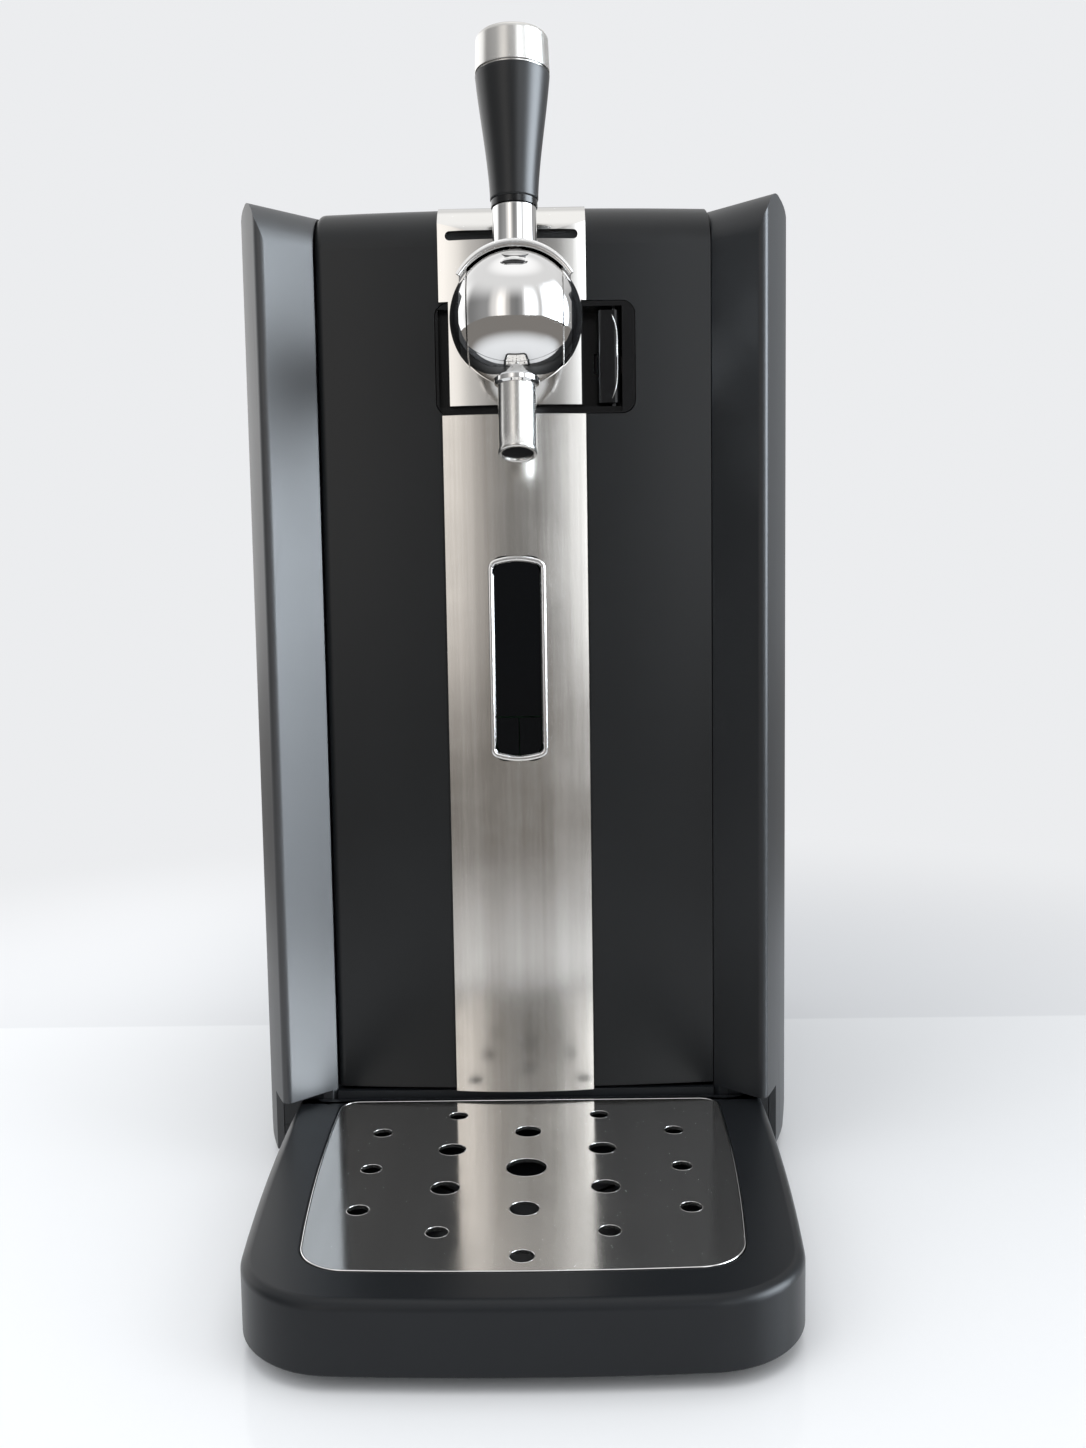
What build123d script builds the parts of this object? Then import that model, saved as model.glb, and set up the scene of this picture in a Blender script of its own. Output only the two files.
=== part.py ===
from build123d import *
from math import acos, cos, radians, sin
import os

# Mini keg beer dispenser, in millimetres. +X is right, +Y is back, +Z is up. The origin is on the table,
# at the middle of the footprint. Depths below are measured back from the face of the steel strip.

os.makedirs("parts", exist_ok=True)

# Overall sizes
overall_width = 261
chamber_radius = 79.5     # takes a mini keg
tray_reach = 175          # strip face to the front of the drip tray
foot_height = 5.5
foot_taper = 6
fit_gap = 0.3             # between pieces that move past each other
seam = 0.4                # shadow line between fixed covers
pin_play = 0.05           # radial play of a turning pin
margin = 5                # how far a cutting or trimming block reaches past what it cuts

# Casing
casing_bottom = 7
casing_top = 436
casing_wall = 3
widest_behind = 80        # where the casing is widest
rear_half = 93.5
rear_corner = 38
wing_half = 108.6         # the front edge of each wing
wing_ahead = 13
wing_nose = 3
top_roll = 20             # radius where front faces roll into the top
rear_roll = 35
top_crown = 5
tuck_height = 31          # the sides curve in under this height
tuck_depth = 7.6
opening_depth = 46        # how far back the front of the chamber lies
rear_cover_half = 60
rear_cover_bottom = 30
top_cover_drop = 40       # the top cover wraps down the back by this much
wing_foot = 35            # wings end here, above the drip tray
wing_share = (0.3, 1.68)  # how far the corners of the plan move for each millimetre of inset
rear_share = 0.68
jamb_share = 0.42
jamb_step = 0.2           # the jamb starts this far behind the door's edge

# Door
door_beside = 8           # the door's side lies this far outside the chamber
door_edge_back = 6.7      # the door's side edges lie behind the strip face
door_bulge = 4.5
door_back = 43
door_bottom = 36.5
door_wall = 3
door_draft = 3.6          # the free side leans in, so that it swings past its jamb
hinge_inset = 4           # radius of the hinge side's front corner
hinge_across = 6          # from the door's side to the hinge axis
hinge_pin_radius = 1.5
knuckle_height = 20
hinge_heights = (70, casing_top - 51)
liner_plate = 2.5
gasket_thick = 2.7
gasket_wide = 3.5
gasket_above = 8          # over the chamber's ceiling
gasket_below = 6
gasket_corner = (8, 5)    # outside and inside radii

# Steel strip, tap plate and display
strip_half = 31.75
strip_bottom = 35
strip_sag = 2.5           # the strip's front is this much convex
plate_seat = 3.2          # depth of the flat seat that the strip and plate lie on
plate_half = 32.4
plate_lift = 4            # from the recess's bottom to the tap plate
plate_skin = 1.4
lower_plate_left = 28.2
lower_plate_right = 30
plate_slot = (58, 4)      # width and height
slot_drop = 16            # from the casing's top to the slot
bezel_half = 12.8
bezel_bottom = 189
bezel_top = 281
bezel_rim = 2.6
window_lift = 20.5        # from the bezel's bottom to the window
key_lift = 3              # from the bezel's bottom to the keys
key_split = 0.6
bezel_proud = 0.9
bezel_round = 0.8
window_reveal = 0.4       # between the display's module and the bezel's inside
module_drop = 3.5         # the module ends this far below the window's top
module_lift = 1.5
display_board_half = 12
display_board_thick = 1.6

# Recess and latch
recess_left = 34.5
recess_right = 54
recess_below = 33         # from the tap's height down to the recess's bottom
recess_above = 16
recess_depth = 20
recess_radius = 6
scoop_left = 30.8
scoop_right = 48
scoop_depth = 14
lever_left = 37.5
lever_pivot = (44.6, 7.6)
lever_thick = 6
lever_room = (5, 4)       # below and above the lever, inside the recess
bolt_drop = 14            # from the tap's height to the bolt's bottom
bolt_high = 10
bolt_front = 20.6
bolt_deep = 7.4
bolt_nose = 86.3
bolt_bevel = 2.5
bolt_inset = 2.5          # from the lever's left side to the bolt's end
scoop_margin = 1.5
notch_left = 33           # the notch beside the tap plate's lower part
notch_drop = 3
notch_deep = 9
channel_deep = 6
tail_room = 36            # the tail's way through starts here
bolt_room = 0.5
lever_corner = 1.5
pin_past = 3              # the lever's pin stands out this far at each end

# Tap
tap_x = 2.5
tap_ahead = 35
tap_drop = 60             # from the casing's top to the tap's height
ball_radius = 27.3
ball_waist = 0.4          # the housing lies this much inside the front cap's sphere
cap_thick = 2
cap_notch = (9.5, 2)      # wide and high, near the front cap's top
notch_rise = 48
cap_half = 19
cap_rise = 29.5           # the front cap faces up by this angle
cap_offset = 5.6
yoke_arm = 3
arch_lift = 2.5
arch_half = 9.3           # as wide as the neck that stands on it
lean = 2                  # the lever leans back at rest
neck_radius = 9
neck_top = 44.7
ring_high = 2.5
grip_top = 97.3
cap_top = 112.8
grip_radius = 15.2
pivot_radius = 3
pin_inner = 10.3
shank_radius = 12
line_radius = 4.5
plunger_radius = 4
spout_tilt = 8
spout_radius = 7.85
spout_bore = 6.4
spout_start = 20
spout_end = 57.5
spout_cut = 11            # the mouth slants to the front
nut_flats = 30
nut_sides = 6
nut_high = 7
housing_play = 0.2
yoke_play = 0.4
collar_inset = 2.3
collar_wide = 1.5
collar_long = 3.5
stem_share = 0.6          # the housing's stem as a share of the ball
plunger_room = 15         # above the ball's middle
plunger_high = 12
pin_room_start = 10
grip_waist = (1.8, 0.22)  # how far out, and at what share of the grip's length
grip_swell = (1.8, 0.55)
cap_edge = 2.5

# Keg chamber and cooling
chamber_inset = 7.5       # from the opening back to the front of the round chamber
chamber_floor = 90
ceiling_drop = 26         # from the casing's top to the chamber's ceiling
liner_wall = 2.5
flange_inset = 0.5        # from the door's side
flange_drop = 6
flange_lift = 5           # from the wings' foot to the flange
foam_wall = 19
foam_room = 32            # air behind the foam
foam_lid = 12
deck_bottom = 70
deck_thick = 3
plate_inset = 3.5         # the plate's edge inside the chamber
plate_disc_thick = 4
boss_side = 44
peltier_side = 40
boss_clear = 8            # around the cold plate's boss
plate_rings = (20, 40, 60)
peltier_thick = 4
sink_side = 100
sink_base = 3
fin_low = 34
fin_count = 11
fan_side = 80
fan_high = 20
fan_bore = 37.5
fan_corner = 5
fan_spoke = 4
fan_hub = 14
fan_blades = 7
blade_in = 12
blade_out = 36
blade_lift = 7
blade_section = (1.8, 13)
blade_turn = 35
hose_radius = 3

# Base, tray and grid
base_thick = 3
base_rim = 10
base_front = 4.5
post_radius = 5
post_inset = (40.5, 21)   # side posts from the casing's side, rear posts from its back
rear_post_half = 60
foot_inset = (38.5, 18, 26)   # feet from the casing's side, from its widest place and from its back
rear_foot_half = 62
air_slot = (60, 6)        # long and wide
air_slot_pitch = 11
air_slots = 5
tongue_half = 30
tongue_reach = 80
tongue_thick = 2.2
tray_across = 2           # the loose tray sits this far right of the strip's middle
tray_back = 4
tray_rear_half = 107
tray_front_half = 96.5
tray_side_bulge = 2.5
tray_front_bulge = 4
tray_corner = 38
tray_top = 32
tray_wall = 3
tray_edge = 5
tray_floor = 8.5
grid_rear_half = 86
grid_front_half = 77.5
grid_back = -2
grid_front = -155
grid_bulge = 2.5
grid_corner = 19
grid_rear_corner = 8
basin_edge = 5
grid_thick = 1.5
hole_pitch = 17.8
hole_column = 31.5
hole_first = 19.9
small_hole = 4.25         # radii
wide_hole = 5.75
middle_hole = 8.35
front_hole = 4.5
basin_lap = 0.2

# Screws, sockets and vents of the rear cover
screw_across = 54
screw_heights = (44, casing_top - 54)
screw_radius = 1.9
screw_head = 3.8
screw_head_high = 2
screw_long = 5
flange_lap = 12
flange_thick = 4
vent_middle = 120
vent_rows = 9
upper_vent_drop = 106
upper_vent_rows = 4
vent_pitch = 9
vent_across = 24
vent_long = 36
vent_high = 4
socket_height = 52
inlet_across = 24
inlet_wide = 28
inlet_high = 22
inlet_deep = 20
inlet_lip = (8, 6)        # wider and higher than the inlet
socket_wall = (4, 6)
socket_corner = 3
prong_size = (2, 5)
prong_pitch = 7
prong_count = 3
switch_across = -26
switch_wide = 21
switch_high = 15
rocker_swing = 14
rocker_taper = 1.5
rocker_slack = 2.4
switch_lip = 6

# Hinge leaves and strike
leaf_deep = 22
leaf_thick = 1.4
knuckle_radius = 2.9
knuckle_room = 3.5
knuckle_ahead = 2.1       # the slot behind each knuckle starts this far ahead of its axis
leaf_front = 20           # the arm reaches the jamb behind the hinge axis
arm_thick = 2.5
pin_reach = 10            # how far each pin stands out of its knuckle
lug_high = 12
strike_front = 14
strike_deep = 24
strike_high = 30
strike_thick = 0.8

# Machine space
pan_rim_thick = 2
fan_screw_inset = 36
supply_across = 56
supply_ahead = 43         # ahead of the chamber's middle
supply_size = (50, 95, 38)
board_across = -108
board_ahead = 41
board_size = (50, 58, 1.6)
board_post = 4.5
board_edge = 4            # from the board's edges to its posts
board_post_radius = 2.5
board_blocks = ((-10, -14, 18, 14), (12, 12, 14, 20))   # place and size of each block on the board
board_block_high = 9
board_cans = (-12, 14)    # where its two round cans stand
board_can_pitch = 13
board_can_radius = 5
board_can_high = 16
supply_slot = (36, 3)
supply_slot_pitch = 9
supply_slots = 9
pump_size = (36, 32, 36)
hose_inset = 14           # from the pump's front to its hose
motor_radius = 14
motor_long = 38
crank_radius = 9
crank_thick = 8
crank_shaft = 1.6
crank_hole = 1.8
crank_hole_share = 0.62
crank_hole_spread = 140
coupling_radius = 18
coupling_high = 9
stem_radius = 5
tongue_foot = -68
foot_radius = 8
fan_screw = 1.5
axle_radius = 2
motor_shaft = 20
hose_across = -82
hose_behind = 75          # behind the chamber's middle
hose_start = 46
hose_drop = 4.5           # from the casing's top to the hose's upper run
hose_lift = 5             # from the chamber's ceiling to the hose's end
hose_bore = 1.9
hose_bend = 9
barb_long = (6, 5)        # inside the hose, on the pump and on the coupling
rocker_wide = 16
rocker_high = 10
rocker_deep = 4           # half its depth
rocker_pin = 1.2
switch_deep = 14

# Door furniture
channel_gap = 0.3         # beside the tap plate
trim_gap = 0.2            # behind the strip and the tap plate
slot_deep = 6             # through the tap plate, to the dark shell behind it
bezel_corner = 7
skirt_half = 12.4
skirt_back = 9
key_gap = 0.9             # between the keys and the window
key_press = 0.5
key_play = 0.3            # between the keys and the bezel
key_sunk = 0.1            # the keys' faces lie this far behind the window's
stem_thick = 2
window_front = 0.2
window_thick = 1.8
boss_across = 72
boss_rows = ((52, 7.7), (casing_top - 12, 11))   # height, and how far forward each row's bosses reach
boss_size = 5
door_screw = 1.6
door_screw_long = 11
door_screw_head = 1.2
grommet_lip = (2, 1.2)    # wide and thick
foam_front = 11
foam_half = 77
door_foam_low = 72
display_half = 16         # half the room for the display in the door's foam
display_room = (8, 5)     # above and below the display, and deep
panel_half = 70           # the raised panel that stiffens the door's liner
panel_low = 110
panel_drop = 26           # from the tap's height to the panel's top
panel_rise = 2
liner_left = 84.2
liner_right = 80.6
grommet_radius = 9
tail_left = 43.6
tail_right = 45.6
tail_back = 23
fork_left = 42.4
fork_right = 46.8
lever_pin_radius = 1.25
guide_left = 60
guide_right = 80
guide_wall = (3, 4)       # ahead of the bolt, and below and above it

# Worked out from the sizes above
foam_radius = chamber_radius + liner_wall + foam_wall
chamber_behind = opening_depth + chamber_inset + chamber_radius
casing_depth = chamber_behind + foam_radius + foam_room + casing_wall
overall_depth = tray_reach + casing_depth
face_y = tray_reach - overall_depth / 2
door_half = chamber_radius + door_beside
flange_half = door_half - flange_inset
plate_disc = chamber_radius - plate_inset
widest_half = overall_width / 2
opening_half = door_half + seam
hinge_x = -door_half + hinge_across
hinge_back = door_edge_back + hinge_inset
base_floor = foot_height + base_thick
deck_top = deck_bottom + deck_thick
liner_floor_top = chamber_floor + liner_wall
cold_top = liner_floor_top + plate_disc_thick
chamber_ceiling = casing_top - ceiling_drop
flange_top = casing_top - flange_drop
foam_top = chamber_ceiling + liner_wall + foam_lid
tap_z = casing_top - tap_drop
recess_bottom = tap_z - recess_below
recess_top = tap_z + recess_above
strip_top = recess_bottom
plate_bottom = recess_bottom + plate_lift
lever_low = recess_bottom + lever_room[0]
lever_high = recess_top - lever_room[1]
bolt_bottom = tap_z - bolt_drop
window_bottom = bezel_bottom + window_lift
key_low = bezel_bottom + key_lift
key_high = window_bottom - key_gap
hose_place = (hose_across, chamber_behind + hose_behind)
pump_low = (hose_across - pump_size[0] / 2, chamber_behind + hose_behind - hose_inset)
supply_low = (supply_across, chamber_behind - supply_ahead)
board_low = (board_across, chamber_behind - board_ahead)
hose_run = casing_top - hose_drop
hose_end = chamber_ceiling + hose_lift


def plan_at(height):
    """Horizontal plane at a height, with its origin under the strip face."""
    return Plane((0, face_y, height))


def front_at(back, height=0, across=0):
    """Upright plane that faces forward, at a depth behind the strip face."""
    return Plane((across, face_y + back, height), x_dir=(1, 0, 0), z_dir=(0, -1, 0))


def side_at(across):
    """Upright plane that faces right."""
    return Plane((across, face_y, 0), x_dir=(0, 1, 0), z_dir=(1, 0, 0))


def wing_room(jamb_point, wing_point, high, radius):
    """The room below a top that rolls down to each wing's face, and to the jambs between the wings."""
    along = Vector(wing_point[0] - jamb_point[0], wing_point[1] - jamb_point[1], 0).normalized()
    reach = overall_width
    start = Vector(jamb_point[0], face_y + jamb_point[1], 0) - along * reach
    with BuildPart() as wing:
        with BuildSketch(Plane(start, x_dir=(-along.Y, along.X, 0), z_dir=along)):
            with BuildLine():
                Polyline((reach, high + reach), (reach, -reach), (0, -reach), (0, high - radius))
                TangentArc((0, high - radius), (radius, high), tangent=(0, 1))
                Polyline((radius, high), (radius, high + reach), (reach, high + reach))
            make_face()
        extrude(amount=2 * reach)
        add(box_at((jamb_point[0], -reach, -reach), (reach, 2 * reach, reach + high)), mode=Mode.INTERSECT)
    with BuildPart() as room:
        add(wing.part)
        mirror(about=Plane.YZ)
        add(box_at((-jamb_point[0], -reach, -reach), (jamb_point[0], 2 * reach, reach + high)))
    return room.part


def casing_form(inset):
    """The closed outer form of the casing, or the same form made smaller by an inset."""
    low = casing_bottom - 3 * inset
    high = casing_top - inset
    side = widest_half - inset
    # the wedge of each wing and the sloping rear sides move by their own share of the inset
    wing_point = (wing_half - wing_share[0] * inset, wing_share[1] * inset - wing_ahead)
    rear_point = (rear_half - rear_share * inset, casing_depth - inset)
    jamb = opening_half + inset
    jamb_point = (jamb, door_edge_back + jamb_step + jamb_share * inset)
    inner_depth = opening_depth + inset
    room = wing_room(jamb_point, wing_point, high, top_roll - inset)
    with BuildPart() as form:
        with BuildSketch(plan_at(low)) as plan:
            with BuildLine():
                Polyline(
                    (0, inner_depth),
                    (jamb, inner_depth),
                    jamb_point,
                    wing_point,
                )
                TangentArc((side, widest_behind), wing_point, tangent=(0, -1))
                TangentArc((side, widest_behind), rear_point, tangent=(0, 1))
                Polyline(rear_point, (0, casing_depth - inset), (0, inner_depth))
            make_face()
            mirror(about=Plane.YZ)
            if inset < wing_nose:
                noses = plan.vertices().filter_by(lambda v: abs(v.X) > opening_half + 2)
                fillet(noses.group_by(Axis.Y)[0], wing_nose - inset)
            rears = plan.vertices().filter_by(lambda v: abs(v.X) > rear_half / 2)
            fillet(rears.group_by(Axis.Y)[-1], rear_corner - inset)
        extrude(amount=high + 2 * top_crown - low)
        with BuildSketch(side_at(-overall_width)) as profile:
            front = inset - wing_ahead - 0.5
            back = casing_depth - inset + 0.5
            with BuildLine():
                Polyline((back, high), (back, low), (front, low), (front, high), (opening_depth, high))
                ThreePointArc(
                    (opening_depth, high),
                    ((opening_depth + back) / 2, high + top_crown),
                    (back, high),
                )
            make_face()
            tops = profile.vertices().filter_by(lambda v: v.Y > high - 1)
            fillet(tops.sort_by(Axis.X)[-1], rear_roll - inset)
        extrude(amount=2 * overall_width, mode=Mode.INTERSECT)
        add(room, mode=Mode.INTERSECT)
        with BuildSketch(front_at(-overall_depth)):
            edge = side + pin_play
            with BuildLine():
                Polyline(
                    (0, high + 2 * top_crown),
                    (edge, high + 2 * top_crown),
                    (edge, casing_bottom + tuck_height),
                )
                tuck = TangentArc(
                    (edge, casing_bottom + tuck_height),
                    (edge - tuck_depth, casing_bottom),
                    tangent=(0, -1),
                )
                Polyline(tuck @ 1, (edge - tuck_depth, low - 1), (0, low - 1), (0, high + 2 * top_crown))
            make_face()
            mirror(about=Plane.YZ)
        extrude(amount=-2 * overall_depth, mode=Mode.INTERSECT)
    return form.part


def door_form(inset, back):
    """The closed outer form of the door, or the same form made smaller by an inset."""
    low = door_bottom + inset
    half = door_half - inset
    edge = door_edge_back + inset
    with BuildPart() as form:
        with BuildSketch(plan_at(low)):
            with BuildLine():
                ThreePointArc((-half, edge), (0, edge - door_bulge), (half, edge))
                Polyline((half, edge), (half - door_draft, back), (-half, back), (-half, edge))
            make_face()
        extrude(amount=casing_top - inset - low)
        front_top = form.edges().group_by(Axis.Z)[-1].sort_by(Axis.Y)[0]
        fillet(front_top, top_roll - inset)
        left = form.edges().filter_by(Axis.Z).group_by(Axis.X)[0].sort_by(Axis.Y)[0]
        fillet(left, hinge_inset - inset)
    return form.part


def box_at(low, high):
    """A block between two corners, given across, behind the strip face and above the table."""
    size = [b - a for a, b in zip(low, high)]
    block = Box(*size, align=(Align.MIN, Align.MIN, Align.MIN), mode=Mode.PRIVATE)
    return Pos(low[0], face_y + low[1], low[2]) * block


def finish(piece, label):
    """Labels a finished piece and writes it."""
    piece.label = label
    export_step(piece, f"parts/{label}.step")


def spots(plane, points):
    """Places on a plane, from pairs of its own coordinates."""
    return [plane.location * Pos(x, y, 0) for x, y in points]


def chamber_form(radius, low, high, front):
    """A block with a round back, like the keg's room, between two heights."""
    with BuildPart() as form:
        with BuildSketch(plan_at(low)):
            with Locations((0, chamber_behind)):
                Circle(radius)
            with Locations((0, front)):
                Rectangle(2 * radius, chamber_behind - front, align=(Align.CENTER, Align.MIN))
                Rectangle(far, far, align=(Align.CENTER, Align.MIN), mode=Mode.INTERSECT)
        extrude(amount=high - low)
    return form.part


# Casing covers
outer = casing_form(0)
cavity = casing_form(casing_wall)
pan_form = casing_form(casing_wall + fit_gap)
pan_inner = casing_form(casing_wall + fit_gap + pan_rim_thick)
far = overall_depth + overall_width          # well outside the object
rear_cover_top = casing_top - top_cover_drop
rear_inside = casing_depth - casing_wall
jamb_inside = opening_depth + casing_wall
strike_middle = bolt_bottom + bolt_high / 2
both_sides = (-screw_across, screw_across)

with BuildPart() as side_shell:
    add(outer)
    add(cavity, mode=Mode.SUBTRACT)
    # the door's opening, the room for the tray, and the open underside
    add(box_at((-opening_half, -far, 0), (opening_half, jamb_inside, far)), mode=Mode.SUBTRACT)
    add(box_at((0, -far, 0), (far, base_front + seam, wing_foot)), mode=Mode.SUBTRACT)
    # the top between the side covers belongs to the top cover
    add(box_at((0, 0, rear_cover_top), (opening_half, far, far)), mode=Mode.SUBTRACT)
    add(box_at((rear_cover_half, -far, casing_bottom), (far, far, far)), mode=Mode.INTERSECT)
    # flange behind the rear cover's edge
    add(
        box_at(
            (rear_cover_half - flange_lap, rear_inside - flange_thick, rear_cover_bottom),
            (rear_cover_half + flange_lap / 2, rear_inside, rear_cover_top - seam),
        )
    )

with BuildPart() as right_side_cover:
    add(side_shell.part)
    add(
        box_at(
            (opening_half - 1, strike_front, strike_middle - strike_high / 2),
            (opening_half + strike_thick, strike_front + strike_deep, strike_middle + strike_high / 2),
        ),
        mode=Mode.SUBTRACT,
    )
    with Locations(spots(front_at(rear_inside), [(screw_across, z) for z in screw_heights])):
        Cylinder(screw_radius, 3 * flange_thick, mode=Mode.SUBTRACT)
finish(right_side_cover.part, "right_side_cover")

with BuildPart() as left_side_cover:
    mirror(side_shell.part, about=Plane.YZ)
    for height in hinge_heights:
        add(
            box_at(
                (-opening_half - leaf_thick, leaf_front, height - knuckle_height / 2),
                (-opening_half + 1, leaf_front + leaf_deep, height + knuckle_height / 2),
            ),
            mode=Mode.SUBTRACT,
        )
    with Locations(spots(front_at(rear_inside), [(-screw_across, z) for z in screw_heights])):
        Cylinder(screw_radius, 3 * flange_thick, mode=Mode.SUBTRACT)
finish(left_side_cover.part, "left_side_cover")

top_half = opening_half - seam / 2
with BuildPart() as top_cover:
    add(outer)
    add(cavity, mode=Mode.SUBTRACT)
    add(box_at((-top_half, opening_depth, rear_cover_top), (top_half, far, far)), mode=Mode.INTERSECT)
    # the front edge rests on the chamber's front flange
    add(box_at((-far, 0, 0), (far, jamb_inside + seam, flange_top)), mode=Mode.SUBTRACT)
finish(top_cover.part, "top_cover")

with BuildPart() as rear_cover:
    add(outer)
    add(cavity, mode=Mode.SUBTRACT)
    add(
        box_at(
            (-rear_cover_half + seam, rear_inside - 1, rear_cover_bottom),
            (rear_cover_half - seam, far, rear_cover_top - seam),
        ),
        mode=Mode.INTERSECT,
    )
    for middle, rows in ((vent_middle, vent_rows), (casing_top - upper_vent_drop, upper_vent_rows)):
        with BuildSketch(front_at(casing_depth, height=middle)):
            with GridLocations(2 * vent_across, vent_pitch, 2, rows):
                SlotOverall(vent_long, vent_high)
        extrude(amount=4 * casing_wall, both=True, mode=Mode.SUBTRACT)
    with BuildSketch(front_at(casing_depth, height=socket_height)):
        with Locations((inlet_across, 0)):
            Rectangle(inlet_wide, inlet_high)
        with Locations((switch_across, 0)):
            Rectangle(switch_wide, switch_high)
    extrude(amount=4 * casing_wall, both=True, mode=Mode.SUBTRACT)
    with Locations(spots(front_at(casing_depth), [(x, z) for x in both_sides for z in screw_heights])):
        Cylinder(screw_radius, 4 * casing_wall, mode=Mode.SUBTRACT)
        Cylinder(screw_head, 2 * screw_head_high, mode=Mode.SUBTRACT)
finish(rear_cover.part, "rear_cover")

screw_plane = front_at(casing_depth - screw_head_high)
with BuildPart() as case_screws:
    with Locations(spots(screw_plane, [(x, z) for x in both_sides for z in screw_heights])):
        Cylinder(screw_head, screw_head_high, align=(Align.CENTER, Align.CENTER, Align.MAX))
        Cylinder(screw_radius, screw_long, align=(Align.CENTER, Align.CENTER, Align.MIN))
finish(case_screws.part, "case_screws")

# Base
jamb_foot = opening_half + casing_wall + 1
post_half = widest_half - post_inset[0]
foot_half = widest_half - foot_inset[0]
post_places = [(-post_half, widest_behind), (post_half, widest_behind)]
post_places += [(x, rear_inside - post_inset[1]) for x in (-rear_post_half, rear_post_half)]
foot_places = [(x, widest_behind - foot_inset[1]) for x in (-foot_half, foot_half)]
foot_places += [(x, rear_inside - foot_inset[2]) for x in (-rear_foot_half, rear_foot_half)]
foot_places += [(0, tongue_foot)]
with BuildPart() as base_pan:
    add(pan_form)
    add(
        box_at((-far, base_front, foot_height), (far, far, base_floor + base_rim)),
        mode=Mode.INTERSECT,
    )
    add(pan_inner, mode=Mode.SUBTRACT)
with BuildPart() as pan_floor:
    add(pan_form)
    add(box_at((-far, base_front, foot_height), (far, far, base_floor)), mode=Mode.INTERSECT)
with BuildPart() as pan_front:
    add(pan_form)
    add(
        box_at((-far, base_front + seam, foot_height), (far, base_front + casing_wall, wing_foot)),
        mode=Mode.INTERSECT,
    )
with BuildPart() as base_pan_whole:
    add(base_pan.part)
    add(pan_floor.part)
    add(pan_front.part)
    add(box_at((-door_half, base_front, foot_height), (door_half, jamb_inside + 2, base_floor)))
    add(box_at((-jamb_foot, base_front, foot_height), (jamb_foot, jamb_inside + 2, casing_bottom)))
    add(
        box_at(
            (-door_half, base_front, foot_height),
            (door_half, base_front + casing_wall, wing_foot - seam),
        )
    )
    # tongue under the tray
    add(
        box_at(
            (-tongue_half, -tongue_reach, foot_height),
            (tongue_half, base_front + 1, foot_height + tongue_thick),
        )
    )
    with BuildSketch(plan_at(foot_height)):
        with Locations(*post_places):
            Circle(post_radius)
    extrude(amount=deck_bottom - foot_height)
    # air slots under the fan
    with BuildSketch(plan_at(foot_height)):
        with Locations((0, chamber_behind)):
            with GridLocations(0, air_slot_pitch, 1, air_slots):
                SlotOverall(*air_slot)
    extrude(amount=base_thick, mode=Mode.SUBTRACT)
finish(base_pan_whole.part, "base_pan")

with BuildPart() as rubber_feet:
    with BuildSketch(plan_at(0)):
        with Locations(*foot_places):
            Circle(foot_radius)
    extrude(amount=foot_height, taper=foot_taper)
finish(rubber_feet.part, "rubber_feet")

# Deck above the machine space
with BuildPart() as deck:
    add(pan_form)
    add(
        box_at(
            (-far, jamb_inside + fit_gap, deck_bottom),
            (far, rear_inside - flange_thick - fit_gap, deck_top),
        ),
        mode=Mode.INTERSECT,
    )
    with BuildSketch(plan_at(deck_bottom)):
        with Locations((0, chamber_behind)):
            Rectangle(boss_side + 2 * boss_clear, boss_side + 2 * boss_clear)
        with Locations(hose_place):
            Circle(hose_radius + 1)
    extrude(amount=deck_thick, mode=Mode.SUBTRACT)
finish(deck.part, "machine_deck")

# Keg chamber
liner_outer = chamber_form(
    chamber_radius + liner_wall,
    chamber_floor,
    chamber_ceiling + liner_wall,
    opening_depth,
)
liner_inner = chamber_form(chamber_radius, liner_floor_top, chamber_ceiling, opening_depth - 1)
boss_half = boss_side / 2 + boss_clear
boss_room = box_at(
    (-boss_half, chamber_behind - boss_half, deck_bottom),
    (boss_half, chamber_behind + boss_half, chamber_floor),
)
with BuildPart() as chamber_liner:
    add(liner_outer)
    add(
        box_at(
            (-flange_half, opening_depth, wing_foot + flange_lift),
            (flange_half, opening_depth + liner_wall, flange_top),
        )
    )
    add(liner_inner, mode=Mode.SUBTRACT)
    # the cold plate's boss and the coupling's stem pass through the walls
    with BuildSketch(plan_at(chamber_floor)):
        with Locations((0, chamber_behind)):
            Rectangle(boss_side + 2 * fit_gap, boss_side + 2 * fit_gap)
    extrude(amount=liner_wall, mode=Mode.SUBTRACT)
    with BuildSketch(plan_at(chamber_ceiling)):
        with Locations((0, chamber_behind)):
            Circle(stem_radius)
    extrude(amount=liner_wall, mode=Mode.SUBTRACT)
finish(chamber_liner.part, "chamber_liner")

with BuildPart() as chamber_foam:
    add(chamber_form(foam_radius, deck_top, foam_top, jamb_inside + 1))
    add(liner_outer, mode=Mode.SUBTRACT)
    add(boss_room, mode=Mode.SUBTRACT)
    with BuildSketch(plan_at(chamber_ceiling)):
        with Locations((0, chamber_behind)):
            Circle(stem_radius + 0.5)
    extrude(amount=foam_top - chamber_ceiling, mode=Mode.SUBTRACT)
finish(chamber_foam.part, "chamber_foam")

with BuildPart() as cold_plate:
    with BuildSketch(plan_at(liner_floor_top)):
        with Locations((0, chamber_behind)):
            Circle(plate_disc)
    extrude(amount=plate_disc_thick)
    with BuildSketch(plan_at(deck_top + peltier_thick)):
        with Locations((0, chamber_behind)):
            Rectangle(boss_side, boss_side)
    extrude(amount=liner_floor_top - deck_top - peltier_thick)
    # shallow rings that keep the keg from sticking
    with BuildSketch(plan_at(cold_top)):
        with Locations((0, chamber_behind)):
            for ring in plate_rings:
                Circle(ring + 1)
                Circle(ring - 1, mode=Mode.SUBTRACT)
    extrude(amount=-1, mode=Mode.SUBTRACT)
finish(cold_plate.part, "cold_plate")

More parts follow.
